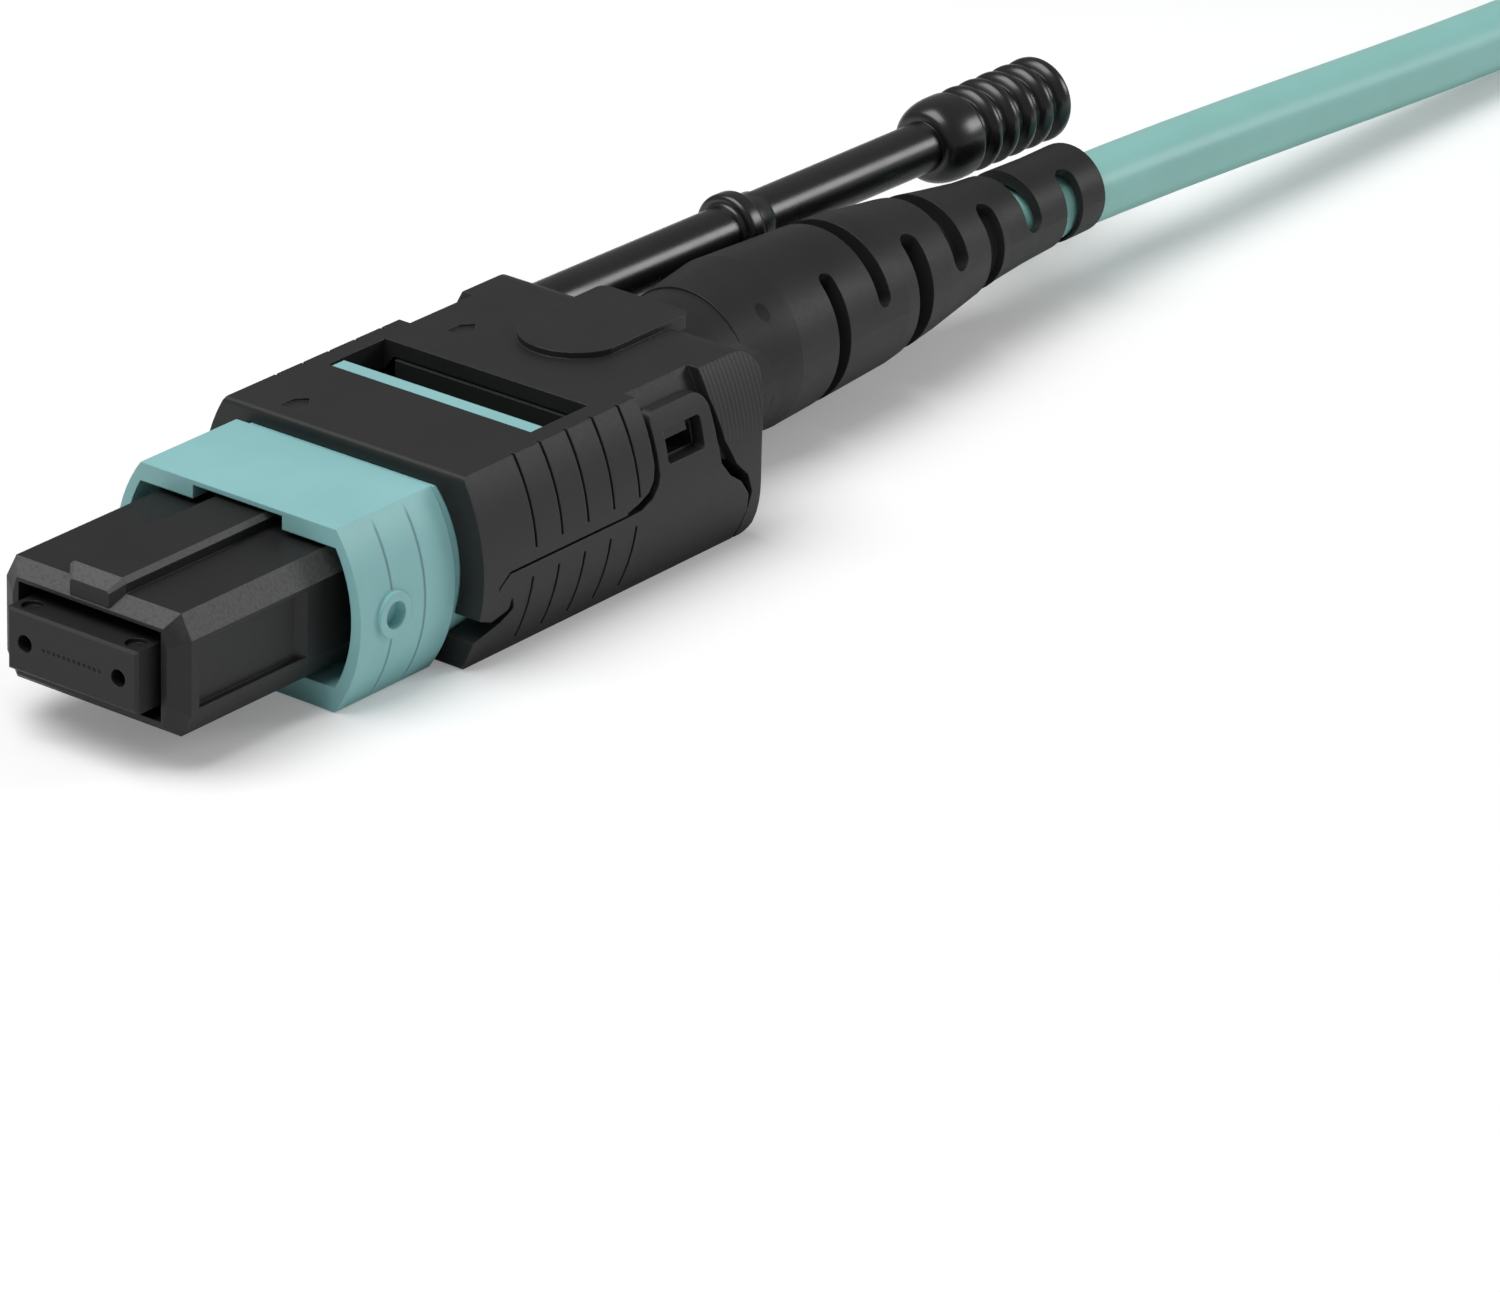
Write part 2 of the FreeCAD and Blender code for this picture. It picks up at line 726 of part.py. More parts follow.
def spring_push(mark):
    """The rear piece: it backs the big spring, latches in the housing and carries the barrel."""
    name = f"{mark}push"
    room_half = s.collar_width / 2
    room_up = s.collar_height / 2
    arm_front = s.push_front - s.arm_reach
    shapes = [
        box(f"{name}_block", symmetric(room_half), (s.push_front, s.guide_back + s.seat_gap),
            symmetric(room_up)),
        prism(f"{name}_flange", "front", guide_section(), s.guide_back + s.seat_gap,
              s.push_flange_back),
        round_bar(f"{name}_barrel", (0, s.push_flange_back - 1, 0),
                  s.barrel_end - s.push_flange_back + 1, s.barrel_radius),
    ]
    for side, sign in SIDES.items():
        shapes.append(box(f"{name}_arm_{side}", outward(sign, room_half - s.arm_thickness, room_half),
                          (arm_front, s.push_front + 1), symmetric(s.arm_height / 2)))
        barb = [
            corner(sign * (room_half - 0.1), arm_front),
            corner(sign * (room_half + s.barb_step), arm_front + s.barb_length),
            corner(sign * (room_half - 0.1), arm_front + s.barb_length),
        ]
        if sign < 0:
            barb.reverse()
        shapes.append(prism(f"{name}_barb_{side}", "plan", barb, -s.arm_height / 2, s.arm_height / 2))
    solid = fused(f"{name}_solid", *shapes)
    tools = [
        box(f"{name}_passage", symmetric(s.ribbon_width / 2 + 2 * s.ribbon_clearance),
            (s.push_front - 1, s.guide_back + 1), symmetric(s.rubber_height / 2)),
        round_bar(f"{name}_bore", (0, s.guide_back + s.seat_gap, 0), 20, s.barrel_bore),
        box(f"{name}_top", symmetric(7), (s.guide_back - 1, s.push_flange_back + 1), (s.flange_top, 5)),
    ]
    for number in range(int(s.knurl_count.value)):
        middle = s.crimp_front + 1 + number
        tools.append(ring(f"{name}_knurl_{number}", middle, 0.4, s.barrel_radius - s.knurl_depth,
                          s.barrel_radius + 1))
    ridge = box(f"{name}_ridge", symmetric(s.ridge_width / 2), (s.ridge_front, s.ridge_back),
                (s.flange_top - 0.2, s.ridge_top))
    return fused(f"{name}_all", cut(f"{name}_cut", solid, *tools), ridge)


def ring(name, start, length, inner, outer):
    """A plain ring about the Y axis."""
    start = size(start)
    return turned(name, [corner(inner, start), corner(outer, start), corner(outer, start + length),
                         corner(inner, start + length)])


def aramid_yarn(mark):
    """The strength yarn, folded back over the barrel and pinched there by the crimp ring."""
    inner = s.barrel_radius + s.crimp_gap
    return ring(f"{mark}yarn", s.crimp_front + 0.3, s.barrel_end - s.crimp_front, inner,
                inner + s.yarn_thickness)


def crimp_ring(mark):
    """The metal ring that pinches the yarn on the barrel and grips the cable jacket."""
    wide = s.barrel_radius + s.yarn_thickness + 2 * s.crimp_gap
    narrow = s.cable_radius + s.crimp_gap
    return turned(f"{mark}crimp", [
        corner(wide, s.crimp_front),
        corner(wide + s.crimp_wall, s.crimp_front),
        corner(wide + s.crimp_wall, s.crimp_shoulder + 0.5),
        corner(narrow + s.crimp_wall, s.crimp_shoulder + 0.5),
        corner(narrow + s.crimp_wall, s.crimp_end),
        corner(narrow, s.crimp_end),
        corner(narrow, s.crimp_shoulder),
        corner(wide, s.crimp_shoulder),
    ])


def boot_tail(name, start):
    """The boot behind its neck: it slims down to the cable and ends in a rounded rim."""
    slim = s.boot_waist_radius - s.boot_end_radius
    tail = turned(name, [
        corner(0, start),
        corner(s.neck_radius + s.boot_lip, start),
        corner(s.body_end_radius, s.boot_waist - s.waist_reach),
        corner(s.body_end_radius - 0.4, s.boot_waist - s.shoulder_reach),
        corner(s.boot_waist_radius + 0.27, s.boot_waist - 2),
        corner(s.boot_waist_radius, s.boot_waist),
        corner(s.boot_end_radius + slim * 0.4, s.boot_waist + 2.2),
        corner(s.boot_end_radius, s.boot_end - 2.2),
        corner(s.boot_end_radius, s.boot_end - 0.22),
        corner(s.boot_end_radius - 0.2, s.boot_end),
        corner(0, s.boot_end),
    ])
    bind(tail, Placement__Base__z=s.boot_rise)
    return tail


def boot(mark, slots):
    """The strain relief with its staggered bending slots; behind the shell it sits a little higher."""
    name = f"{mark}relief"
    wide = s.barrel_radius + s.yarn_thickness + 2 * s.crimp_gap + s.crimp_wall + s.boot_gap
    narrow = s.cable_radius + s.crimp_gap + s.crimp_wall + s.boot_gap
    cavity = turned(f"{name}_cavity", [
        corner(0, s.boot_front - 1),
        corner(wide, s.boot_front - 1),
        corner(wide, s.crimp_shoulder + 1.1),
        corner(narrow, s.crimp_shoulder + 1.1),
        corner(narrow, s.crimp_end + 0.3),
        corner(0, s.crimp_end + 0.3),
    ])
    if not slots:
        plain = turned(f"{name}_outside", [
            corner(0, s.boot_front),
            corner(s.boot_radius, s.boot_front),
            corner(s.boot_radius, s.boot_waist - 8),
            corner(s.boot_waist_radius, s.boot_waist),
            corner(s.boot_end_radius, s.boot_end),
            corner(0, s.boot_end),
        ])
        bore = round_bar(f"{name}_bore", (0, s.crimp_end, 0), s.boot_end - s.crimp_end + 1, s.boot_bore)
        return cut(f"{name}_cut", plain, cavity, bore)
    front = round_bar(f"{name}_front", (0, s.boot_front, 0), s.boot_straight - s.boot_front, s.boot_radius)
    neck = turned(f"{name}_neck", [
        corner(0, -0.4),
        corner(s.boot_radius - s.boot_lip, -0.4),
        corner(s.neck_radius, s.neck_length),
        corner(0, s.neck_length),
    ])
    neck.Placement = FreeCAD.Placement(Vector(), FreeCAD.Rotation(Vector(1, 0, 0), s.neck_turn.value))
    bind(neck, Placement__Base__y=s.boot_straight)
    tail = boot_tail(f"{name}_tail", s.boot_straight + s.neck_length - 0.2)
    tools = [
        cavity,
        round_bar(f"{name}_bore", (0, s.crimp_end, 0), s.boot_waist - 2 - s.crimp_end, s.boot_bore),
        round_bar(f"{name}_tail_bore", (0, s.boot_waist - 5, s.tail_bore_rise),
                  s.boot_end - s.boot_waist + 6, s.tail_bore),
    ]
    for number in range(slots):
        tools.append(bending_slot(f"{name}_slot_{number}", number))
    return cut(f"{name}_cut", fused(f"{name}_outside", front, neck, tail), *tools)


def bending_slot(name, number):
    """One slot: every second one runs over the top, the others round the side and below."""
    middle = s.slot_first + number * s.slot_step
    width = s.slot_wide if number > 1 else s.slot_width
    over_top = number % 2 == 1
    turn = s.slot_top_turn if over_top else s.slot_side_turn
    end_turn = turn.value if over_top else turn.value + s.slot_span.value - 360
    lift = s.boot_rise * 0.7
    floor = s.slot_floor
    if number == 4:
        floor = s.slot_floor - 0.24
    if number > 4:
        floor = s.slot_core
    sector = round_bar(f"{name}_sector", (0, middle + width / 2, lift), width, 5, FORWARD, s.slot_span)
    turned_start = FORWARD * FreeCAD.Rotation(Vector(0, 0, 1), turn.value)
    sector.Placement = FreeCAD.Placement(sector.Placement.Base, turned_start)
    outwards = FreeCAD.Rotation(Vector(0, 1, 0), 90 - end_turn)
    end = round_bar(f"{name}_end", (0, middle, lift), 5, width / 2, outwards)
    core = round_bar(f"{name}_core", (0, middle - width, lift), 2 * width, floor)
    return cut(name, fused(f"{name}_sweep", sector, end), core)


# ---------------------------------------------------------------- coupling sleeve


def coupling_sleeve(mark):
    """The coloured sleeve: pulled back, it lets the connector out of its adapter."""
    name = f"{mark}sleeve"
    front = s.sleeve_front
    grip_back = front + s.grip_length
    back = front + s.sleeve_length
    half_flat = s.sleeve_flat / 2
    half_width = s.sleeve_width / 2
    grip = prism(f"{name}_grip", "front", lens(half_flat, half_width, s.sleeve_top, s.sleeve_bottom),
                 front, grip_back)
    waist = prism(f"{name}_waist", "front", waist_section(0), grip_back, back)
    rib = box(f"{name}_rib", symmetric(s.rib_width / 2), (s.rib_front, s.rib_back),
              (s.sleeve_bore_top + 0.1, s.rib_top))
    shapes = [grip, waist, rib]
    ring_middle = front + s.pin_ring_back
    for side, sign in SIDES.items():
        near = half_width - 0.3 if sign > 0 else -half_width - s.pin_ring_height
        shapes.append(round_bar(f"{name}_pin_ring_{side}", (near, ring_middle, -0.1),
                                s.pin_ring_height + 0.3, s.pin_ring_radius, ALONG_X))
    solid = fused(f"{name}_solid", *shapes)
    bore = lens(s.sleeve_bore_flat / 2, s.sleeve_bore_width / 2, s.sleeve_bore_top,
                s.sleeve_bore_bottom)
    tools = [
        prism(f"{name}_bore", "front", bore, front - 1, back + 1),
        box(f"{name}_key_slot", symmetric(s.key_slot_width / 2),
            (front - 1, s.guide_front + s.key_slot_gap), (0, s.key_slot_top)),
    ]
    for side, sign in SIDES.items():
        near = half_width - 0.35 if sign > 0 else -half_width - 1
        tools.append(round_bar(f"{name}_pin_hole_{side}", (near, ring_middle, -0.1), 1.35,
                               s.pin_hole_radius, ALONG_X))
    hollow = cut(f"{name}_hollow", solid, *tools)
    ledges = []
    for side, sign in SIDES.items():
        span = outward(sign, s.channel_floor + s.side_spring_gap, s.sleeve_bore_width / 2 + 0.1)
        ledge_front = s.channel_front + s.stop_gap
        ledges.append(box(f"{name}_ledge_{side}", span, (ledge_front, ledge_front + s.ledge_length),
                          symmetric(s.channel_height / 2 - s.slide_gap)))
    return fused(f"{name}_all", hollow, *ledges)


def waist_section(gap):
    """The sleeve's rear section, with a gap all round for the shell's cavity."""
    gap = size(gap)
    return lens(s.sleeve_flat / 2 - s.waist_step + gap, s.sleeve_width / 2 - s.waist_step + gap,
                s.sleeve_top - s.waist_step + gap, s.waist_bottom + gap)


# ---------------------------------------------------------------- clip-on shell


def shell_section(inset):
    """The shell's outer section; an inset moves only the bowed sides."""
    inset = size(inset)
    return lens(s.shell_flat / 2 - inset, s.shell_width / 2 - inset, s.shell_top, s.axis_height)


def shell_blank(name, softened):
    """The shell before it is split: bowed sides, and a softened outline seen from side and top."""
    front, back = s.shell_front, s.shell_back
    half = s.shell_width / 2
    body = prism(f"{name}_body", "front", shell_section(0), front, back)
    if not softened:
        return hollow_shell(name, body)
    side_view = [
        corner(front, -s.axis_height, 0.25),
        corner(back, -s.axis_height, s.back_round / 2),
        corner(back, s.shell_top, s.back_round),
        corner(front, s.shell_top, 0.25),
    ]
    plan_view = [
        corner(-half - 0.1, front),
        corner(half + 0.1, front),
        corner(half + 0.1, back, s.back_round),
        corner(-half - 0.1, back, s.back_round),
    ]
    soft = common(f"{name}_soft", body, prism(f"{name}_side_view", "side", side_view, -8, 8))
    softer = common(f"{name}_softer", soft, prism(f"{name}_plan_view", "plan", plan_view, -5, 5))
    return hollow_shell(name, softer)


def hollow_shell(name, solid):
    """The shell's outside with its sleeve cavity, boot opening and top window cut away."""
    front = s.shell_front
    return cut(
        f"{name}_hollow", solid,
        prism(f"{name}_cavity", "front", waist_section(s.shell_gap), front - 1, s.cavity_back),
        round_bar(f"{name}_opening", (0, s.cavity_back - 2, 0), 12, s.boot_radius + s.boot_opening),
        box(f"{name}_window", symmetric(s.window_width / 2), (s.rib_front - s.window_gap, s.window_back),
            (2, 6)),
    )


def side_layer(name, corners, inset):
    """The part of the bowed sides outside an inset, within an outline seen from the side."""
    block = prism(f"{name}_block", "side", corners, -9, 9)
    core = prism(f"{name}_core", "front", shell_section(inset), s.shell_front - 1, s.shell_back + 1)
    return cut(name, block, core)


def grooves(name, low, high, lean):
    """The thin finger grooves across both sides."""
    strips = []
    half = s.groove_width / 2
    for number in range(int(s.groove_count.value)):
        middle = s.groove_first + number * s.groove_pitch
        strip = [
            corner(middle + lean - half, low),
            corner(middle + lean + half, low),
            corner(middle + half, high),
            corner(middle - half, high),
        ]
        strips.append(prism(f"{name}_{number}", "side", strip, -9, 9))
    core = prism(f"{name}_core", "front", shell_section(s.groove_depth), s.shell_front - 1,
                 s.shell_back + 1)
    return cut(name, fused(f"{name}_strips", *strips), core)


def shell_upper(mark, detailed):
    """The upper half: hooked toes in front, finger pad, ears behind the latch loops."""
    name = f"{mark}upper"
    line = -s.part_line + s.part_gap / 2
    nose, notch = s.hook_nose, s.hook_notch
    toe = -s.toe_depth
    front, back = s.shell_front - 1, s.shell_back + 1
    foot = s.loop_foot + s.part_gap
    halves = [
        corner(front, toe + 0.75),
        corner(nose - 0.15, toe + 0.05, 0.2),
        corner(notch - 0.35, toe + 0.3, 0.15),
        corner(notch - 0.3, -s.hook_depth + 0.02, 0.08),
        corner(nose + 0.2, -0.95, 0.1),
        corner(nose - 0.05, -0.5, 0.15),
        corner(nose + 0.6, line),
        corner(s.loop_front - 0.6, line),
        corner(s.loop_back + 0.6, line + 0.35),
        corner(s.loop_back + 1.25, 0.05),
        corner(foot - 0.6, -0.72),
        corner(foot - 0.1, -1.66, 0.5),
        corner(foot, -s.axis_height - 1),
        corner(back, -s.axis_height - 1),
        corner(back, s.shell_top + 1),
        corner(front, s.shell_top + 1),
    ]
    body = common(f"{name}_body", shell_blank(name, detailed), prism(f"{name}_region", "side", sharp(halves, detailed), -8, 8))
    gap = s.loop_gap
    recess = [
        corner(s.loop_front - 2.05, -0.5),
        corner(s.loop_back + 1.6, -0.5),
        corner(s.loop_back + 0.65, 1.14),
        corner(s.loop_back + 0.2, s.loop_top - 0.4),
        corner(s.loop_back + 0.1, s.shell_top + 1),
        corner(s.loop_front - gap, s.shell_top + 1),
        corner(s.loop_front - gap, 1.45),
        corner(s.loop_front - gap - 0.14, 0.92),
        corner(s.loop_front - gap - 0.45, 0.54),
        corner(s.loop_front - gap - 1.05, 0.27),
        corner(s.loop_front - 2.05, 0.1),
    ]
    layers = [side_layer(f"{name}_recess", sharp(recess, detailed), s.loop_inset)]
    if detailed:
        layers.append(grooves(f"{name}_groove", 0.5, s.shell_top + 1, 0.15))
    cut_body = cut(f"{name}_sides", body, *layers)
    middle = s.pad_front + s.pad_width / 2
    half = s.pad_width / 2
    pad_plan = [
        corner(s.pad_centre - half, middle, bulge=half * 1.02),
        corner(s.pad_centre + half, middle),
        corner(s.pad_centre + half, s.shell_back + s.pad_overhang, 0.4),
        corner(s.pad_centre - half, s.shell_back + s.pad_overhang, 0.4),
    ]
    low = s.boot_radius + s.boot_opening + 0.05
    pad = prism(f"{name}_pad", "plan", sharp(pad_plan, detailed), low, s.shell_top + s.pad_height)
    if not detailed:
        return cut(f"{name}_cut", fused(f"{name}_whole", cut_body, pad), rod_socket(name))
    shapes = [cut_body, pad]
    catch = [
        corner(s.eye_front + 0.05, s.catch_bottom),
        corner(s.catch_back, s.catch_bottom),
        corner(s.catch_back, s.eye_top - 0.05),
        corner(s.eye_front + 0.05, s.eye_top - 0.05),
    ]
    catch_block = prism(f"{name}_catch_block", "side", catch, -8, 8)
    catch_skin = prism(f"{name}_catch_skin", "front", shell_section(s.loop_inset - s.catch_height),
                       s.eye_front, s.eye_back)
    catch_bar = common(f"{name}_catch_bar", catch_block, catch_skin)
    core = prism(f"{name}_catch_core", "front", shell_section(s.loop_inset + 0.2),
                 s.eye_front - 1, s.eye_back + 1)
    shapes.append(cut(f"{name}_catch", catch_bar, core))
    whole = fused(f"{name}_whole", *shapes)
    tools = [rod_socket(name)]
    for side, sign in SIDES.items():
        span = outward(sign, s.shell_width / 2 - s.eye_depth, 8)
        tools.append(box(f"{name}_pocket_{side}", span, (s.eye_front + 0.1, s.eye_back - 0.1),
                         (s.eye_bottom + 0.1, s.catch_bottom)))
    for number, start in enumerate((s.arrow_front, s.arrow_back)):
        tools.append(prism(f"{name}_arrow_{number}", "plan", arrow(start), s.shell_top - s.arrow_depth,
                           s.shell_top + 1))
    return cut(f"{name}_cut", whole, *tools)


def arrow(start):
    """A plain pentagon that points backwards."""
    half = s.arrow_size / 2
    middle = s.arrow_across
    return [
        corner(middle - half, start),
        corner(middle + half, start),
        corner(middle + half, start + s.arrow_size),
        corner(middle, start + 1.6 * s.arrow_size),
        corner(middle - half, start + s.arrow_size),
    ]


def shell_lower(mark, detailed):
    """The lower half, whose latch loops snap over catches on the upper half."""
    name = f"{mark}lower"
    line = -s.part_line - s.part_gap / 2
    nose, notch = s.hook_nose, s.hook_notch
    front = s.shell_front - 1
    foot = s.loop_foot
    region = [
        corner(front, -s.axis_height - 1),
        corner(foot - 0.05, -s.axis_height - 1),
        corner(foot, -2.5),
        corner(foot - 0.2, -1.7, 0.5),
        corner(foot - 0.9, -0.88),
        corner(s.loop_back + 0.95, -0.4),
        corner(s.loop_back + 0.4, line),
        corner(s.loop_front - 0.75, line),
        corner(nose + 0.62, line),
        corner(nose + 0.02, -0.55, 0.15),
        corner(nose + 0.2, -1.0, 0.12),
        corner(notch - 0.22, -s.hook_depth - 0.02),
        corner(notch, -1.7, 0.2),
        corner(nose + 0.4, -s.toe_depth - 0.2),
        corner(front, -s.toe_depth - 0.95),
    ]
    body = common(f"{name}_body", shell_blank(name, detailed), prism(f"{name}_region", "side", sharp(region, detailed), -8, 8))
    ribbed = body
    if detailed:
        ribbed = cut(f"{name}_ribbed", body,
                     grooves(f"{name}_groove", -s.toe_depth - 1.4, -0.65, -0.12))
    loop = [
        corner(s.loop_front - 1.9, -0.4),
        corner(s.loop_back + 0.95, -0.4),
        corner(s.loop_back + 0.35, 0.3),
        corner(s.loop_back + 0.15, 1.4),
        corner(s.loop_back, s.loop_top, 0.8),
        corner(s.loop_front - 0.04, s.loop_top, 0.45),
        corner(s.loop_front, 1.0),
        corner(s.loop_front - 0.14, 0.6),
        corner(s.loop_front - 0.5, 0.2),
        corner(s.loop_front - 1.2, -0.08),
        corner(s.loop_front - 1.9, line),
    ]
    layer = common(f"{name}_loop_solid", prism(f"{name}_loop_block", "side", sharp(loop, detailed), -8, 8),
                   prism(f"{name}_loop_skin", "front", shell_section(0), s.loop_front - 2,
                         s.loop_back + 2))
    eye = [
        corner(s.eye_front, s.eye_bottom, 0.2),
        corner(s.eye_back, s.eye_bottom, 0.2),
        corner(s.eye_back, s.eye_top, 0.2),
        corner(s.eye_front, s.eye_top, 0.2),
    ]
    loops = cut(f"{name}_loops", layer,
                prism(f"{name}_loop_core", "front", shell_section(s.loop_inset - s.loop_seat_gap),
                      s.loop_front - 3, s.loop_back + 3),
                prism(f"{name}_eye", "side", sharp(eye, detailed), -8, 8))
    return fused(f"{name}_all", ribbed, loops)


# ---------------------------------------------------------------- pull rod


def rod_droop():
    """The rod's slight downward lean."""
    return FreeCAD.Rotation(Vector(1, 0, 0), -s.rod_droop.value)


def rod_socket(name):
    """The hole in the shell's rear face that takes the rod's spigot."""
    depth = s.rod_root + s.seat_gap
    hole = round_bar(f"{name}_socket", (-s.rod_side, s.shell_back - depth, s.rod_lift + 0.05),
                     depth + 1, s.rod_spigot + s.seat_gap, rod_droop() * ALONG_Y)
    return hole


def pull_rod(mark, ribs):
    """The rod with its stop ring and ribbed knob, used to reach between stacked connectors."""
    name = f"{mark}rod"
    length = s.overall_length - s.shell_back
    ring_start = s.ring_front - s.shell_back
    knob_start = length - s.knob_length
    valley = s.knob_radius - s.knob_groove_depth
    ring_end = ring_start + s.ring_length
    collar_end = ring_end + s.ring_collar_length
    corners = [
        corner(0, -s.rod_root),
        corner(s.rod_spigot, -s.rod_root),
        corner(s.rod_spigot, s.seat_gap),
        corner(s.rod_radius, s.seat_gap),
        corner(s.rod_radius, ring_start),
        corner(s.ring_radius, ring_start),
        corner(s.ring_radius, ring_end),
        corner(s.ring_collar, ring_end),
        corner(s.ring_collar, collar_end),
        corner(s.rod_radius, collar_end),
        corner(s.rod_radius, knob_start),
        corner(s.knob_radius * 0.78, knob_start + s.knob_nose * 0.22),
        corner(s.knob_radius * 0.92, knob_start + s.knob_nose * 0.51),
        corner(s.knob_radius, knob_start + s.knob_nose),
    ]
    for number in range(ribs):
        middle = knob_start + s.knob_groove_lead + number * s.knob_groove_pitch
        corners.append(corner(s.knob_radius, middle - s.knob_groove_half))
        corners.append(corner(valley, middle))
        corners.append(corner(s.knob_radius, middle + s.knob_groove_half))
    corners += [
        corner(s.knob_radius, length - s.knob_bevel),
        corner(s.knob_radius - s.knob_bevel, length),
        corner(0, length),
    ]
    return turned(name, corners)


# ---------------------------------------------------------------- cable


def tube(name, points):
    """A round cable through route points: straight runs joined by tangent arcs."""
    edges = []
    start = points[0]
    for before, here, after in zip(points, points[1:], points[2:]):
        back, ahead = before - here, after - here
        turn = math.pi - back.getAngle(ahead)
        shorter = min(back.Length, ahead.Length)
        radius = 0.45 * shorter / math.tan(turn / 2)
        print(f"{name}: bend radius {radius:.1f} mm")
        reach = 0.45 * shorter
        enter = here + back.normalize() * reach
        leave = here + ahead.normalize() * reach
        inward = (back + ahead).normalize()
        middle = here + inward * (radius / math.cos(turn / 2) - radius)
        edges.append(Part.LineSegment(start, enter).toShape())
        edges.append(Part.Arc(enter, middle, leave).toShape())
        start = leave
    edges.append(Part.LineSegment(start, points[-1]).toShape())
    spine = Part.Wire(edges)
    direction = points[1] - points[0]
    section = Part.Wire([Part.makeCircle(s.cable_radius.value, points[0], direction)])
    sweep = Part.BRepOffsetAPI.MakePipeShell(spine)
    sweep.add(section)
    sweep.build()
    sweep.makeSolid()
    solid = sweep.shape()
    expected = math.pi * s.cable_radius.value**2 * spine.Length
    if abs(solid.Volume - expected) > 0.01 * expected:
        raise ValueError(f"{name}: the tube's volume does not match its length")
    cable = document.addObject("Part::Feature", name)
    cable.Shape = solid
    return cable


def oval(name, inset, low, height):
    """An upright block with half-round ends, as long as the folded hank is."""
    radius = s.hank_fold + s.cable_radius - inset
    near = s.hank_front + s.hank_fold + s.cable_radius
    upright = FreeCAD.Rotation()
    return fused(
        name,
        box(f"{name}_middle", symmetric(radius), (near, near + s.hank_straight), (low, low + height)),
        round_bar(f"{name}_near", (0, near, low), height, radius, upright),
        round_bar(f"{name}_far", (0, near + s.hank_straight, low), height, radius, upright),
    )


def hank():
    """The rest of the cable, folded into a tied hank: one closed outer shape with two leads."""
    height = 2 * s.cable_radius * s.hank_layers
    back = s.hank_front + 2 * (s.hank_fold + s.cable_radius) + s.hank_straight
    reach = s.hank_lead + s.cable_radius
    lift = s.hank_lift + s.cable_radius + s.lead_lift
    drop = s.hank_lift + height - s.cable_radius - s.lead_lift
    winding = cut("hank_winding", oval("hank_outer", 0, s.hank_lift, height),
                  oval("hank_inner", 2 * s.cable_radius, s.hank_lift - 1, height + 2))
    lead_in = round_bar("hank_lead_in", (0, s.hank_front - s.hank_lead, lift), reach, s.cable_radius)
    lead_out = round_bar("hank_lead_out", (0, back - s.cable_radius, drop), reach, s.cable_radius)
    return fused("hank_all", winding, lead_in, lead_out)


# ---------------------------------------------------------------- setting down and writing

PIECES = []
TABLE_SHIFT = -s.overall_length / 2


def piece(label, thing):
    """Name a piece and set it down on the table."""
    PIECES.append(thing)
    thing.Label = label
    bind(thing, Placement__Base__y=TABLE_SHIFT, Placement__Base__z=s.axis_height)


def far_piece(label, thing):
    """Name a piece of the far connector, which lies beyond the hank and points along +Y."""
    PIECES.append(thing)
    thing.Label = label
    thing.Placement = FreeCAD.Placement(Vector(), FreeCAD.Rotation(Vector(0, 0, 1), 180))
    bind(thing, Placement__Base__y=s.far_boot_end + s.boot_end + TABLE_SHIFT)
    bind(thing, Placement__Base__z=s.axis_height)


def table_piece(label, thing):
    """Name a piece whose heights are already measured from the table."""
    PIECES.append(thing)
    thing.Label = label
    bind(thing, Placement__Base__y=TABLE_SHIFT)


piece("inner_housing", inner_housing(""))
piece("mt_ferrule", mt_ferrule("", FIBRES))
piece("fibre_ribbon", fibre_ribbon("", FIBRES))
piece("ferrule_boot", ferrule_boot(""))
piece("pin_clamp", pin_clamp(""))
piece("ferrule_spring", ferrule_spring(""))
piece("spring_push", spring_push(""))
piece("aramid_yarn", aramid_yarn(""))
piece("crimp_ring", crimp_ring(""))
piece("boot", boot("", 7))
piece("coupling_sleeve", coupling_sleeve(""))
piece("coupling_spring_left", coupling_spring("", "left"))
piece("coupling_spring_right", coupling_spring("", "right"))
piece("shell_upper", shell_upper("", True))
piece("shell_lower", shell_lower("", True))


def set_rod(mark, place, label, ribs):
    """The rod leans in its own holder, which is then set down."""
    rod = pull_rod(mark, ribs)
    holder = document.addObject("Part::Compound", f"{mark}rod_leaning")
    rod.Placement = FreeCAD.Placement(Vector(), rod_droop())
    bind(rod, Placement__Base__x=-s.rod_side, Placement__Base__y=s.shell_back,
         Placement__Base__z=s.rod_lift)
    holder.Links = [rod]
    place(label, holder)


set_rod("", piece, "pull_rod", 5)

# Route points of the two straight stretches of cable: across, along, height above the table.
NEAR_ROUTE = [(0, 34.4, 3.9), (0, 48, 3.9), (0, 63, 4.1), (0, 97, 1.7), (0, 113, 1.82)]
FAR_ROUTE = [(0, 185.2, 16.78), (0, 201.7, 16.78), (0, 224, 3.9), (0, 240.5, 3.9)]

table_piece("cable", tube("cable", [Vector(*point) for point in NEAR_ROUTE]))
table_piece("cable_coil", hank())
table_piece("cable_far", tube("cable_far", [Vector(*point) for point in FAR_ROUTE]))

far_piece("far_inner_housing", inner_housing("far_"))
far_piece("far_mt_ferrule", mt_ferrule("far_", 0))
far_piece("far_boot", boot("far_", 0))
far_piece("far_coupling_sleeve", coupling_sleeve("far_"))
far_piece("far_shell_upper", shell_upper("far_", False))
far_piece("far_shell_lower", shell_lower("far_", False))
set_rod("far_", far_piece, "far_pull_rod", 0)

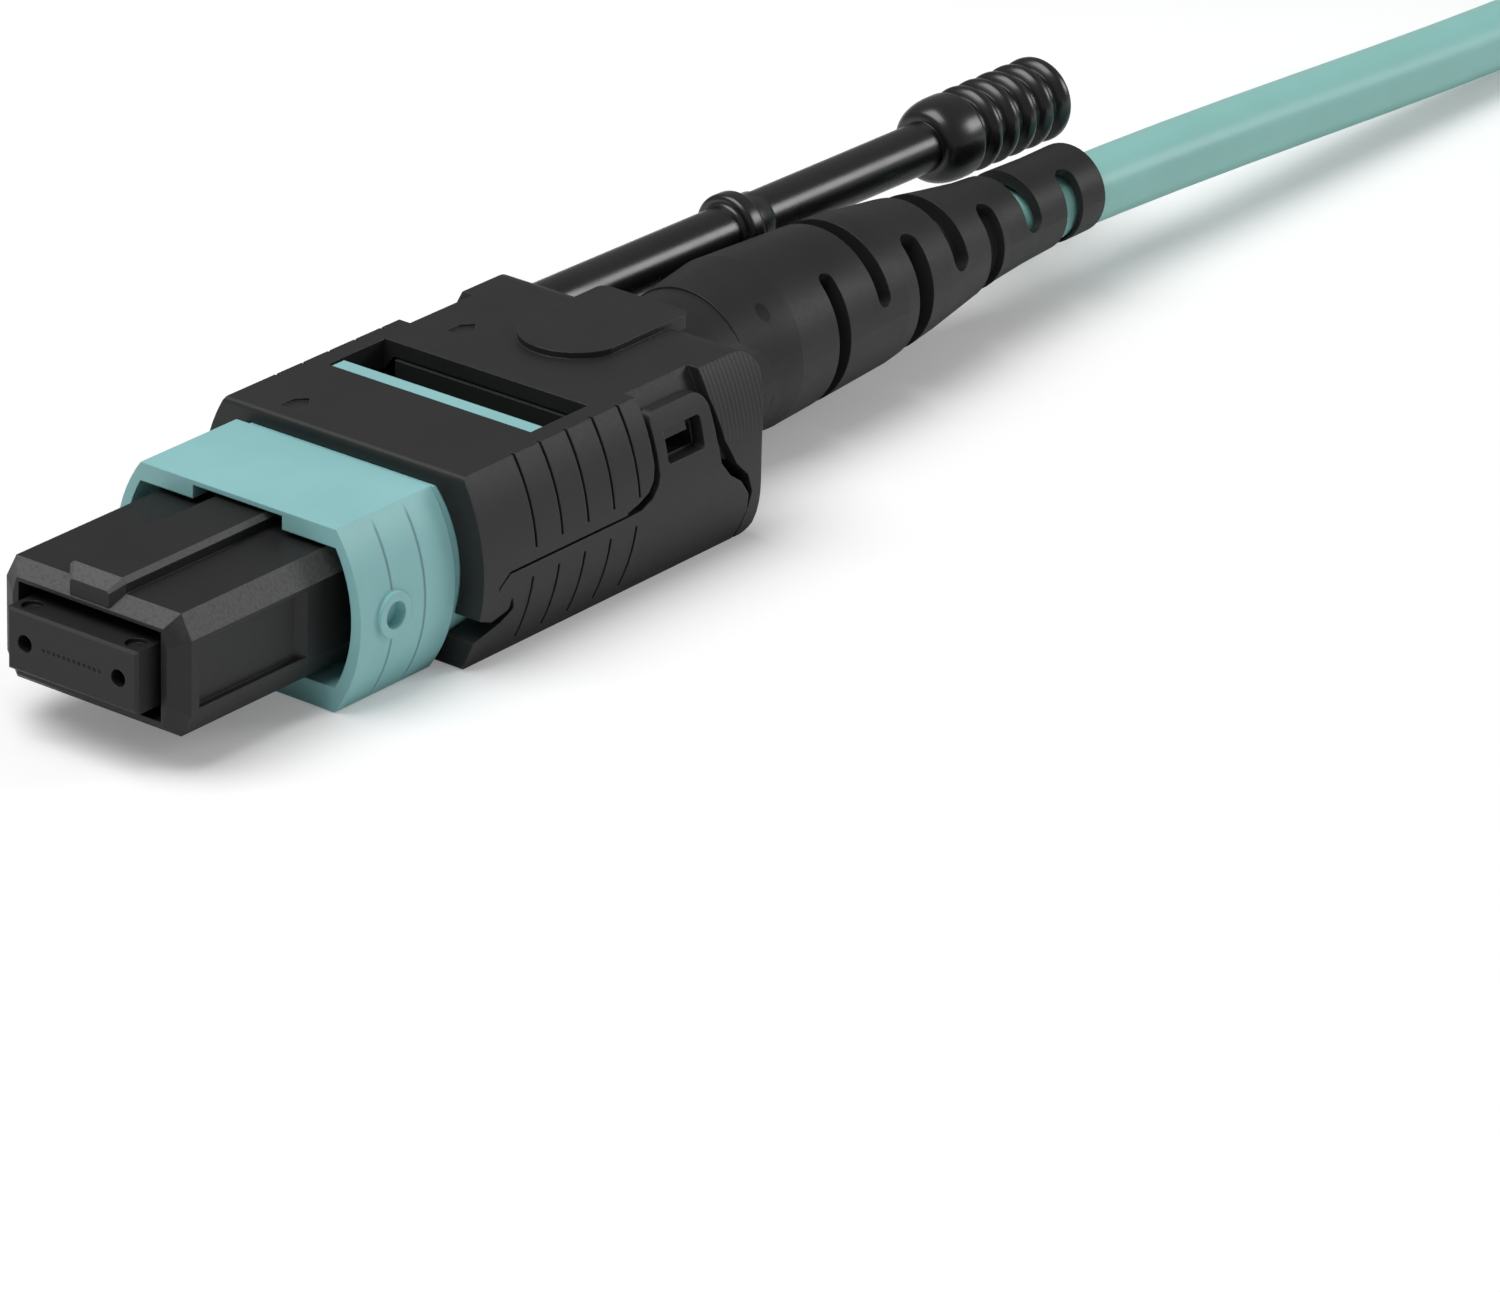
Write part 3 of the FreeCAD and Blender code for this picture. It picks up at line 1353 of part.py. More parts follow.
document.recompute()
for thing in document.Objects:
    if "Invalid" in thing.State or "Error" in thing.State:
        raise ValueError(f"{thing.Name} ({thing.Label}) did not build: {thing.State}")
for thing in PIECES:
    shape = thing.Shape
    if shape.isNull() or not shape.isValid():
        raise ValueError(f"{thing.Label} has no valid shape")
    count = len(shape.Solids)
    print(f"{thing.Label}: {count} solid, {shape.Volume:.2f} mm3")
    if count != 1:
        raise ValueError(f"{thing.Label} is {count} solids")

os.makedirs("parts", exist_ok=True)
for thing in PIECES:
    thing.Shape.exportStep(f"parts/{thing.Label}.step")
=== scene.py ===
# %% [markdown]
# # A twelve-fibre push-pull connector
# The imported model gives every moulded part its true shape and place. This lesson dresses it: it
# sets the camera, lays the cable as one curve, turns the two pull rods on a lathe, and builds a
# finish for each material that the real connector is made of. Blender measures in metres and small
# parts are drawn in millimetres, so MM turns one into the other.

import math

import bpy
from mathutils import Matrix, Vector


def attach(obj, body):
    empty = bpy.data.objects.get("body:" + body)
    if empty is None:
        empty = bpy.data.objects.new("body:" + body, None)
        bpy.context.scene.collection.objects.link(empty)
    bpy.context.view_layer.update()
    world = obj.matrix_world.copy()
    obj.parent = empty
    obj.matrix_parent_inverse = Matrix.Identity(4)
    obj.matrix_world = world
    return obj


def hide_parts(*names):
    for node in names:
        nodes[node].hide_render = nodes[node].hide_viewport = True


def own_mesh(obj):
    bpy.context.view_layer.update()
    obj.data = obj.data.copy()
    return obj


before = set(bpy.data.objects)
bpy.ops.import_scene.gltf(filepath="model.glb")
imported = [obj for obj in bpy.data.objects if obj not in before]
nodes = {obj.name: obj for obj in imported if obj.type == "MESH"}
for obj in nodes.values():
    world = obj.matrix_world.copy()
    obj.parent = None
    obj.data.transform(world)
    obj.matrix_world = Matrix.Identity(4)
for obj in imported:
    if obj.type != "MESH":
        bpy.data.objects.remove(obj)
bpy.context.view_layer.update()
MM = 0.001

# %% [markdown]
# ## Where the parts lie
# The connector is drawn from its ferrule's face backwards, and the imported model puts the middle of
# its length at the origin. One helper turns a place on the drawing into a place on the table. Two
# more put new data into the scene, because every piece below needs the same three lines. Edges
# sharper than the crease angle stay crisp, and the rest is shaded smooth.

# %% From the drawing to the table
TABLE_SHIFT = -33.075
AXIS_HEIGHT = 3.9
CREASE = math.radians(40)


def on_table(x, y, z):
    """A place on the drawing, in millimetres, as metres on the table."""
    return (x * MM, (y + TABLE_SHIFT) * MM, z * MM)


def put_in_scene(name, data):
    """An object for a mesh, curve, lamp or camera."""
    made = bpy.data.objects.new(name, data)
    bpy.context.scene.collection.objects.link(made)
    return made


def mesh_piece(name, vertices, faces, smooth=True):
    """A mesh object; a smooth one keeps its sharp edges."""
    mesh = bpy.data.meshes.new(name)
    mesh.from_pydata(vertices, [], faces)
    if smooth:
        mesh.shade_smooth()
        mesh.set_sharp_from_angle(angle=CREASE)
    return put_in_scene(name, mesh)


print("the ferrule's face lies at", on_table(0, 0, AXIS_HEIGHT))

# %% [markdown]
# ## The camera
# Small connectors are shown with a long lens from far away, so that parallel edges stay nearly
# parallel. A camera could be aimed at an empty, but a slight roll is easier without one: its three
# axes follow from the azimuth, the elevation and the roll.

# %% Camera
LENS = 215.35
CAMERA_PLACE = (201.76, -255.965, 141.10)

azimuth, elevation, roll = (math.radians(angle) for angle in (37.4, 24.39, 1.57))
sin_a, cos_a = math.sin(azimuth), math.cos(azimuth)
sin_e, cos_e = math.sin(elevation), math.cos(elevation)
right = Vector((cos_a, sin_a, 0))
up = Vector((-sin_a * sin_e, cos_a * sin_e, cos_e))
back = Vector((sin_a * cos_e, -cos_a * cos_e, sin_e))
rolled_right = right * math.cos(roll) + up * math.sin(roll)
rolled_up = up * math.cos(roll) - right * math.sin(roll)

lens = bpy.data.cameras.new("long_lens")
lens.sensor_width = 36
lens.lens = LENS
lens.clip_start = 0.01
lens.clip_end = 20
camera = put_in_scene("camera", lens)
stand = Matrix((rolled_right, rolled_up, back)).transposed().to_4x4()
stand.translation = Vector(CAMERA_PLACE) * MM
camera.matrix_world = stand
bpy.context.scene.camera = camera
print("camera at", tuple(round(value, 3) for value in stand.translation))

# %% [markdown]
# ## The cable's route
# The lead is one flexible cable between two connectors. Its spare length is put away in a tied
# hank: a single file of folds, six layers high. The spline cuts inside its control points, so the
# points of a fold sit a little further out than the cable itself.

# %% Cable route
CABLE_DIAMETER = 3.0
NEAR_ROUTE = [(0, 34.4, 3.9), (0, 48, 3.9), (0, 63, 4.1), (0, 97, 1.7), (0, 113, 1.82)]
FAR_ROUTE = [(0, 185.2, 16.78), (0, 201.7, 16.78), (0, 224, 3.9), (0, 240.5, 3.9)]
FOLD_RADIUS = 9.3
HANK_ENDS = (129.8, 168.4)
LOWEST_LAYER = 1.8
LAYERS = 6
FOLD_STEPS = 8


def fold(end, layer):
    """Control points of one half turn: over the far end, or back round the near end."""
    step = math.pi / FOLD_STEPS
    outside = FOLD_RADIUS / math.cos(step / 2)
    height = LOWEST_LAYER + CABLE_DIAMETER * layer
    points = []
    for index in range(FOLD_STEPS):
        angle = math.pi - step * (index + 0.5)
        if end == 0:
            angle += math.pi
        along = HANK_ENDS[end] + outside * math.sin(angle)
        points.append((outside * math.cos(angle), along, height))
    return points


def hank_points():
    """From the near lead into the left lane, up through the layers and out over the far end."""
    points = [(-1.2, 125, 1.8), (-FOLD_RADIUS, 139, 1.8), (-FOLD_RADIUS, 153, 1.8)]
    for layer in range(LAYERS - 1):
        points += fold(1, layer) + fold(0, layer + 1)
    top = LOWEST_LAYER + CABLE_DIAMETER * (LAYERS - 1)
    points += [(-FOLD_RADIUS, 147, top), (-FOLD_RADIUS, 159, top), (-1.2, 173.2, 16.78)]
    return points


route = NEAR_ROUTE + hank_points() + FAR_ROUTE
print("the cable's route has", len(route), "control points")

# %% [markdown]
# ## The cable
# A chain of cylinders would show a kink at every joint, and its length would change with each
# point that moves. One NURBS curve with a round bevel runs smoothly from end to end, and bends as
# the real jacket does.

# %% Cable curve
def nurbs_tube(name, route, diameter):
    """A round tube along one NURBS spline through the drawing."""
    curve = bpy.data.curves.new(name, "CURVE")
    curve.dimensions = "3D"
    spline = curve.splines.new("NURBS")
    spline.points.add(len(route) - 1)
    for point, place in zip(spline.points, route):
        point.co = (*on_table(*place), 1)
        point.radius = diameter * MM / 2
    spline.order_u = 3
    spline.use_endpoint_u = True
    spline.resolution_u = 6
    curve.bevel_depth = 1
    curve.bevel_resolution = 6
    curve.use_fill_caps = True
    return put_in_scene(name, curve)


cable = nurbs_tube("cable_run", route, CABLE_DIAMETER)
print("cable laid, order", cable.data.splines[0].order_u)

# %% [markdown]
# ## The tie
# A flat tie goes once round the middle of the hank. A cloth strip could be wrapped by a
# simulation, but a tie that is pulled tight has a plain shape: an outer and an inner outline with
# round corners, joined by its two edges.

# %% The tie's outline
TIE_THICKNESS = 0.15
TIE_WIDTH = 6.0
TIE_CORNER = 1.7


def round_corners(half_width, low, high, radius, steps=6):
    """The outline of a rectangle with round corners, seen along the cable."""
    corners = [
        (half_width, high, 0),
        (-half_width, high, 90),
        (-half_width, low, 180),
        (half_width, low, 270),
    ]
    outline = []
    for x, z, first in corners:
        middle_x = x - math.copysign(radius, x)
        middle_z = z - radius if z == high else z + radius
        for step in range(steps + 1):
            angle = math.radians(first + 90 * step / steps)
            across, highlight_lift = radius * math.cos(angle), radius * math.sin(angle)
            outline.append((middle_x + across, middle_z + highlight_lift))
    return outline


tie_half = FOLD_RADIUS + CABLE_DIAMETER / 2 + TIE_THICKNESS
tie_top = LOWEST_LAYER + CABLE_DIAMETER * (LAYERS - 0.5) + TIE_THICKNESS
tie_low = LOWEST_LAYER - CABLE_DIAMETER / 2 - TIE_THICKNESS
tie_outside = round_corners(tie_half, tie_low, tie_top, TIE_CORNER)
tie_inside = round_corners(
    tie_half - TIE_THICKNESS,
    tie_low + TIE_THICKNESS,
    tie_top - TIE_THICKNESS,
    TIE_CORNER - TIE_THICKNESS,
)
print("the tie is", round(2 * tie_half, 2), "mm wide and reaches", round(tie_top, 2), "mm up")

# %% [markdown]
# ## Rings of points
# The tie and the boot's shoulders are both rings of points joined by quads, so one helper serves
# them. The tie's four rings close on themselves: along the outside, over the edge, back along the
# inside and over the other edge.

# %% Tie band
def joined_rings(here, there, count):
    """The quads between two closed rings that start at the vertices here and there."""
    faces = []
    for index in range(count):
        after = (index + 1) % count
        faces.append((here + index, here + after, there + after, there + index))
    return faces


def band(name, outer, inner, middle, width):
    """A flat closed band round the cable's layers."""
    edges = (middle - width / 2, middle + width / 2)
    rings = [(outer, edges[0]), (outer, edges[1]), (inner, edges[1]), (inner, edges[0])]
    vertices = [on_table(x, y, z) for outline, y in rings for x, z in outline]
    count = len(outer)
    faces = []
    for ring in range(len(rings)):
        faces += joined_rings(ring * count, (ring + 1) % len(rings) * count, count)
    return mesh_piece(name, vertices, faces, smooth=False)


tie = band("hank_tie", tie_outside, tie_inside, sum(HANK_ENDS) / 2, TIE_WIDTH)
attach(tie, "connector")
print("tie band with", len(tie.data.polygons), "faces")

# %% [markdown]
# ## The boot's shoulders
# Behind the shell the rubber boot swells in two shallow steps before its slots begin. The packed
# boot has straight cones there. A thin ring of points laid over each step rounds it off without
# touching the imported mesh.

# %% The boot's shoulders
SHOULDER_SEGMENTS = 96
FRONT_RIM = [(3.15, 0), (3.3, 0), (3.302, 0.3), (3.28, 1.1), (3.15, 1.1)]
REAR_RIM = [(3.1, 0), (3.29, 0), (3.42, 1.0), (3.55, 2.0), (3.68, 3.0), (3.682, 3.08), (3.1, 3.08)]


def shoulder(name, rim, front, rise):
    """A shallow ring round the boot; its rim lists (radius, distance behind the front)."""
    middle = AXIS_HEIGHT + rise
    vertices = []
    for index in range(SHOULDER_SEGMENTS):
        angle = math.tau * index / SHOULDER_SEGMENTS
        for radius, behind in rim:
            x, z = radius * math.sin(angle), radius * math.cos(angle)
            vertices.append(on_table(x, front + behind, middle + z))
    count = len(rim)
    faces = []
    for index in range(SHOULDER_SEGMENTS):
        faces += joined_rings(index * count, (index + 1) % SHOULDER_SEGMENTS * count, count)
    made = mesh_piece(name, vertices, faces)
    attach(made, "connector")
    return made


shoulders = [
    shoulder("boot_shoulder", FRONT_RIM, 33.36, 0),
    shoulder("boot_collar", REAR_RIM, 36.16, 0.42),
]
print("shoulders:", [made.name for made in shoulders])

# %% [markdown]
# ## A lathe
# The pull rod and its knob are round parts, moulded in one shot. A screw modifier could turn their
# outline, but it leaves the ends open; here the outline starts and ends on the axis, so the piece
# closes by itself. Its round edges are arcs, given by their middle, their radius and two angles.

# %% Turn an outline
def arc(middle_radius, middle_along, radius, first, last, steps=5):
    """Points (radius, place along the axis) of a round edge, angles in degrees."""
    points = []
    for step in range(steps + 1):
        angle = math.radians(first + (last - first) * step / steps)
        points.append(
            (middle_radius + radius * math.sin(angle), middle_along - radius * math.cos(angle))
        )
    return points


def turned(name, outline, segments=72):
    """Turn an outline about the Y axis into a closed mesh; its first and last radius are 0."""
    vertices = [(0, outline[0][1] * MM, 0)]
    for radius, along in outline[1:-1]:
        for index in range(segments):
            angle = math.tau * index / segments
            x, z = radius * math.sin(angle), radius * math.cos(angle)
            vertices.append((x * MM, along * MM, z * MM))
    vertices.append((0, outline[-1][1] * MM, 0))
    tip = len(vertices) - 1
    end = tip - segments
    faces = []
    for index in range(segments):
        after = (index + 1) % segments
        faces.append((0, 1 + index, 1 + after))
        for low in range(1, end, segments):
            high = low + segments
            faces.append((low + index, high + index, high + after, low + after))
        faces.append((tip, end + after, end + index))
    return mesh_piece(name, vertices, faces)


print("lathe ready;", len(arc(0, 0, 1, 0, 90)), "points to a quarter round")

# %% [markdown]
# ## The pull rod's outline
# The rod has a stop ring with a short collar half way, and a domed knob with round ribs at its
# end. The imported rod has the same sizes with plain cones. Here the ribs and edges are full rounds,
# so that they catch the light as the moulded ones do. Two rings of points close beside an edge
# hold the shading of the long straight stretch flat.

# %% The rod's outline
ROD = {"start": 32.9, "root": 1.2, "radius": 1.09, "fillet": 0.2, "lead": 0.05, "hold": 0.04}
RING = {"front": 44.65, "length": 0.92, "radius": 1.52, "edge": 0.22}
COLLAR = {"radius": 1.17, "length": 1.1, "fillet": 0.12, "bevel": 0.1}
KNOB = {"front": 58.0, "end": 66.15, "radius": 1.84, "nose": 1.5, "bevel": 0.25}
DOME = {"steps": 12, "fullness": 0.7}
GROOVE = {"first": 60.46, "pitch": 1.19, "depth": 0.36, "half": 0.17, "count": 5}
RIB = {"steps": 7, "fullness": 2.6}


def ring_and_collar():
    """From the rod's seat in the shell over the stop ring to the end of its collar."""
    front = RING["front"] - ROD["start"]
    rear = front + RING["length"]
    collar_end = rear + COLLAR["length"]
    fillet = ROD["fillet"]
    rim = RING["radius"] - RING["edge"]
    outline = [
        (0, -ROD["root"]),
        (ROD["radius"], -ROD["root"]),
        (ROD["radius"], front - fillet - ROD["lead"]),
    ]
    outline += arc(ROD["radius"] + fillet, front - fillet, -fillet, 90, 0)
    outline += arc(rim, front + RING["edge"], RING["edge"], 0, 90)
    outline += arc(rim, rear - RING["edge"], RING["edge"], 90, 180)
    outline += arc(
        COLLAR["radius"] + COLLAR["fillet"], rear + COLLAR["fillet"], -COLLAR["fillet"], 180, 90
    )
    outline.append((COLLAR["radius"], collar_end - COLLAR["bevel"]))
    outline += [(ROD["radius"], collar_end), (ROD["radius"], collar_end + ROD["hold"])]
    return outline


def rib_edge(middle, side):
    """The round side of a rib that falls into the groove at middle."""
    reach = GROOVE["pitch"] / 2 - GROOVE["half"]
    points = []
    for step in range(RIB["steps"] + 1):
        share = step / RIB["steps"]
        height = GROOVE["depth"] * (1 - share ** RIB["fullness"])
        along = middle + side * (GROOVE["half"] + reach * (1 - share))
        points.append((KNOB["radius"] - GROOVE["depth"] + height, along))
    return points


def ribbed_knob():
    """The dome, the five grooves between the ribs, and the rounded end."""
    front = KNOB["front"] - ROD["start"]
    end = KNOB["end"] - ROD["start"]
    bevel = KNOB["bevel"]
    outline = [(ROD["radius"], front - ROD["hold"]), (ROD["radius"], front)]
    for step in range(1, DOME["steps"] + 1):
        angle = math.radians(90 * step / DOME["steps"])
        rise = (KNOB["radius"] - ROD["radius"]) * math.sin(angle) ** DOME["fullness"]
        outline.append((ROD["radius"] + rise, front + KNOB["nose"] * (1 - math.cos(angle))))
    for number in range(GROOVE["count"]):
        middle = GROOVE["first"] - ROD["start"] + number * GROOVE["pitch"]
        outline += rib_edge(middle, -1) + rib_edge(middle, 1)[::-1]
    outline += arc(KNOB["radius"] - bevel, end - bevel, bevel, 90, 180)
    outline.append((0, end))
    return outline


rod_outline = ring_and_collar() + ribbed_knob()
print("the rod's outline has", len(rod_outline), "points")

# %% [markdown]
# ## The two rods
# Each rod hooks into the shell beside the boot, and droops a little towards its knob. The far
# connector is the near one turned half round, so the same outline serves both: only the side, the
# turn and the place of its front change.

# %% Two rods
ROD_SIDE = 4.7
ROD_LIFT = 2.565
ROD_DROOP = math.radians(0.92)
BOOT_END = 62.15
FAR_BOOT_END = 228.0


def rod(name, node, body, side, front, turn):
    """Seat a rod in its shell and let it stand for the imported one."""
    made = turned(name, rod_outline)
    height = ROD_LIFT + AXIS_HEIGHT
    seat = on_table(-side * ROD_SIDE, front + side * ROD["start"], height)
    tilt = Matrix.Rotation(turn, 4, "Z") @ Matrix.Rotation(-ROD_DROOP, 4, "X")
    made.matrix_world = Matrix.Translation(seat) @ tilt
    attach(made, body)
    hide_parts(node)
    return made


near_rod = rod("rod_near", "pull_rod", "grip", 1, 0, 0)
far_rod = rod("rod_far", "far_pull_rod", "far_grip", -1, FAR_BOOT_END + BOOT_END, math.pi)
print("rods with", len(near_rod.data.polygons), "faces each")

# %% [markdown]
# ## What the cable is
# The curve stands for the cable's three imported solids, which are hidden. It keeps their real
# length and thickness, and rides on the connector's body.

CABLE_LEAVES_BOOT = 63.6

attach(cable, "connector")
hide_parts("cable", "cable_coil", "cable_far")
on_table(0, CABLE_LEAVES_BOOT, AXIS_HEIGHT)

# %% [markdown]
# ## The springs
# The return springs stay seated on the fixed body, while the ferrule or the sleeve pushes their
# front ends back. A real coil closes up turn by turn. Here each spring only gets a mesh of its own,
# which no other object shares.


def shorten(name):
    """Give a coil spring, seated at its rear end, a mesh of its own."""
    spring = nodes[name]
    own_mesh(spring)


shorten("ferrule_spring")
shorten("coupling_spring_left")
shorten("coupling_spring_right")

# %% [markdown]
# ## Shader maths as plain expressions
# A material is a small graph of nodes. Wrapping a node's output lets the graph be written as
# arithmetic: adding two wrapped outputs places the Math node that adds them.

# %% A wrapped socket
class Wave:
    """A socket that varies over the surface, with the operators that the finishes use."""

    def __init__(self, graph, socket):
        self.graph = graph
        self.socket = socket

    def math(self, operation, *others):
        """One Math node on this value and the others."""
        inputs = dict(enumerate((self, *others)))
        return self.graph.node("ShaderNodeMath", {"operation": operation}, inputs)

    def __add__(self, other):
        return self.math("ADD", other)

    def __sub__(self, other):
        return self.math("SUBTRACT", other)

    def __rsub__(self, other):
        return self.graph.node("ShaderNodeMath", {"operation": "SUBTRACT"}, {0: other, 1: self})

    def __mul__(self, other):
        return self.math("MULTIPLY", other)

    def __truediv__(self, other):
        return self.math("DIVIDE", other)

    def __pow__(self, other):
        return self.math("POWER", other)

    __radd__ = __add__
    __rmul__ = __mul__

    def between(self, low, high):
        """0 below low, 1 above high, and a straight ramp in between."""
        inputs = {"Value": self, "From Min": low, "From Max": high}
        return self.graph.node("ShaderNodeMapRange", {"clamp": True}, inputs)


print("wrapped sockets know + - * / ** and math nodes by name")

# %% [markdown]
# ## A material's graph
# Every other node comes from one method, which sets the node's own settings first and then its
# sockets: a wrapped output is linked, and anything else is written into the socket. The room's
# light is a graph as well, so the same class serves both.

# %% A graph that places nodes
class Graph:
    """The node graph of one material, or of the room."""

    def __init__(self, owner):
        owner.use_nodes = True
        self.owner = owner
        self.tree = owner.node_tree
        self.tree.nodes.clear()

    def node(self, kind, settings=None, inputs=None, output=0):
        """Place a node: its settings first, then its sockets' values or links."""
        made = self.tree.nodes.new(kind)
        for name, value in (settings or {}).items():
            setattr(made, name, value)
        for name, value in (inputs or {}).items():
            if isinstance(value, Wave):
                self.tree.links.new(value.socket, made.inputs[name])
            else:
                made.inputs[name].default_value = value
        return Wave(self, made.outputs[output]) if made.outputs else None

    def finish(self, surface, output="ShaderNodeOutputMaterial"):
        """Send a shader to the graph's output."""
        self.node(output, inputs={"Surface": surface})
        return self.owner


print("graph ready: one method places every node")

# %% [markdown]
# ## Colours and noise
# Math nodes turn a colour grey, so colours are blended by a Mix node. Its colour sockets share
# their names with others on the node, which is why they go by number. Noise is measured in
# millimetres here: one unit of the texture is then one grain of the mould.

# %% Building blocks that several finishes share
MIX_LOW, MIX_HIGH, MIX_COLOUR = 6, 7, 2
WHITE = (1, 1, 1, 1)


def place_of(graph):
    """Where a point lies on the piece, in metres."""
    return graph.node("ShaderNodeTexCoord", output="Object")


def noise(graph, size_mm, roughness=0.5):
    """Soft noise whose spots are about so many millimetres wide, from 0 to 1."""
    scale = [1 / (size_mm * MM)] * 3
    spread = graph.node(
        "ShaderNodeVectorMath", {"operation": "MULTIPLY"}, {0: place_of(graph), 1: scale}
    )
    inputs = {"Vector": spread, "Scale": 1.0, "Detail": 3.0, "Roughness": roughness}
    return graph.node("ShaderNodeTexNoise", {}, inputs)


def blend(graph, mask, low, high):
    """The colour low where the mask is 0 and high where it is 1; low may vary by itself."""
    low = low if isinstance(low, Wave) else (*low, 1)
    inputs = {"Factor": mask, MIX_LOW: low, MIX_HIGH: (*high, 1)}
    return graph.node("ShaderNodeMix", {"data_type": "RGBA"}, inputs, output=MIX_COLOUR)


print("colour blends and noise ready")

# %% [markdown]
# ## Edges
# No moulded edge is truly sharp, and hands rub it first. The Bevel node gives a normal that rounds
# an edge off without more faces. Where that normal leaves the true one there is an edge, which
# makes a mask for paler edges: rubbed wear together with a painted highlight.

# %% Edge masks
def eased_normal(graph, radius_mm):
    """A normal that rounds off hard edges, as a mould's small radius does."""
    return graph.node("ShaderNodeBevel", {"samples": 6}, {"Radius": radius_mm * MM})


def edge_mask(graph, radius_mm):
    """1 along the piece's edges and 0 on its faces."""
    inputs = {
        0: eased_normal(graph, radius_mm),
        1: graph.node("ShaderNodeNewGeometry", output="Normal"),
    }
    settings = {"operation": "DOT_PRODUCT"}
    closeness = graph.node("ShaderNodeVectorMath", settings, inputs, output="Value")
    return (1 - closeness).between(0.01, 0.2)


print("edge masks ready")

# %% [markdown]
# ## Masks by place and direction
# Some marks sit at one place only: a gate mark on the boot, a line across the sleeve, both with
# painted shade. A mask made from the distance to that place puts them there, with no texture to
# unwrap. Bevels that look upward are found from the direction of the surface, for a painted
# highlight.

# %% Masks by place and direction
def parts_of(vector):
    """The three numbers of a vector."""
    first = vector.graph.node("ShaderNodeSeparateXYZ", inputs={0: vector})
    return [Wave(vector.graph, output) for output in first.socket.node.outputs]


def slanted(graph):
    """1 on bevels that look upward, 0 on faces that lie square to the piece and below."""
    facing = parts_of(graph.node("ShaderNodeTexCoord", output="Normal"))
    x, y, z = (part.math("ABSOLUTE") for part in facing)
    bevel = (1 - x.math("MAXIMUM", y.math("MAXIMUM", z))).between(0.04, 0.12)
    return bevel * facing[2].between(0.2, 0.4)


def spot(graph, centre, radii):
    """1 inside a small ellipsoid round a place on the drawing, 0 outside, with a soft rim."""
    distance = 0
    for part, middle, radius in zip(parts_of(place_of(graph)), on_table(*centre), radii):
        distance = ((part - middle) / (radius * MM)) ** 2 + distance
    return 1 - distance.between(0.7, 1.2)


def beyond(part, low, high):
    """0 below low and 1 above high, both in millimetres."""
    return part.between(low * MM, high * MM)


print("place masks ready")

# %% [markdown]
# ## Moulded plastic
# Injection-moulded plastic takes the fine spark-eroded texture of its mould. Two scales of noise
# make it: the fine one drives the bump, the slow one shifts colour and gloss a little. Edges come
# out slightly smoother and paler, from wear together with a painted highlight. A finish is built
# in steps, so that each plastic adds only what it has.

# %% Moulded plastic
BUMP_DEPTH = 0.01
SLOW_MM = 3.5


class Moulded:
    """A moulded plastic while it is built: its colour, the height of its surface, its gloss."""

    def __init__(self, name, colour, grain_mm=0.12, edge_wear_and_highlight=0.35, drift=0.12):
        self.graph = graph = Graph(bpy.data.materials.new(name))
        self.colour = colour
        self.slow = noise(graph, SLOW_MM)
        self.fine = noise(graph, grain_mm, 0.6)
        self.height = self.fine
        self.edge_mm = 0.06
        self.edges = edge_mask(graph, self.edge_mm)
        self.base = blend(
            graph, self.slow.between(0.3, 0.7), self.shaded(1 - drift), self.shaded(1 + drift)
        )
        # Edges are paler: rubbed wear together with a painted highlight along them.
        worn_and_highlit_edge = [part + (0.5 - part) * edge_wear_and_highlight * 0.25 for part in colour]
        self.base = blend(graph, self.edges * edge_wear_and_highlight, self.base, worn_and_highlit_edge)

    def shaded(self, share):
        """The plastic's own colour, darker or lighter."""
        return [part * share for part in self.colour]

    def paint_bevel_highlight(self, highlight_lift):
        """Bevels that look upward get a painted highlight, speckled by the grain, and a coarser
        bump.
        """
        bevels = slanted(self.graph)
        # Painted highlight: the upward bevels' colour is lightened, speckled by the fine grain.
        speckled_highlight = bevels * (0.6 + self.fine.between(0.3, 0.7) * 0.8)
        self.base = blend(self.graph, speckled_highlight, self.base, [part + highlight_lift for part in self.colour])
        self.height = self.height * (1 + bevels * 2)

    def dent_with_painted_shade(self, centre, radii):
        """A small dent, with painted shade turning its colour black."""
        dent_shade = spot(self.graph, centre, radii)
        # Painted shade: the dent's colour goes to black.
        self.base = blend(self.graph, dent_shade, self.base, (0, 0, 0))
        self.height = self.height - dent_shade * 4

    def grooves_with_painted_shade(self, lines):
        """Fine grooves: a bump, with painted shade darkening their colour."""
        # Painted shade: the grooves' colour is darkened to about a third.
        self.base = blend(self.graph, lines * 0.75, self.base, self.shaded(0.35))
        self.height = self.height - lines * 12

    def material(self, roughness, grain=0.25, sheen=0.5):
        """The finished material: its gloss, the depth of its grain and its share of sheen."""
        normal = eased_normal(self.graph, self.edge_mm)
        relief = {
            "Strength": grain,
            "Distance": BUMP_DEPTH * MM,
            "Height": self.height,
            "Normal": normal,
        }
        bump = self.graph.node("ShaderNodeBump", {}, relief)
        worn = (self.fine - 0.5) * 0.12 + (self.slow - 0.5) * 0.08 - self.edges * 0.1
        sockets = {
            "Base Color": self.base,
            "Roughness": worn + roughness,
            "Normal": bump,
            "Specular IOR Level": sheen,
        }
        return self.graph.finish(self.graph.node("ShaderNodeBsdfPrincipled", {}, sockets))


def dress(material, *pieces):
    """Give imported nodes, by name, or pieces made here their finish."""
    for piece in pieces:
        data = nodes[piece].data if isinstance(piece, str) else piece.data
        data.materials.clear()
        data.materials.append(material)
    print(material.name, "on", len(pieces), "pieces")


print("a moulded plastic starts with noise of", SLOW_MM, "mm and a grain of its own")

# %% [markdown]
# ## The plug
# The inner housing is black, glass-filled plastic. Its upward-facing bevels are the brightest thing
# on it; a painted highlight, speckled by the grain, lightens their colour.

# %% Housing black
plug = Moulded("housing_black", (0.013, 0.013, 0.013), grain_mm=0.14)
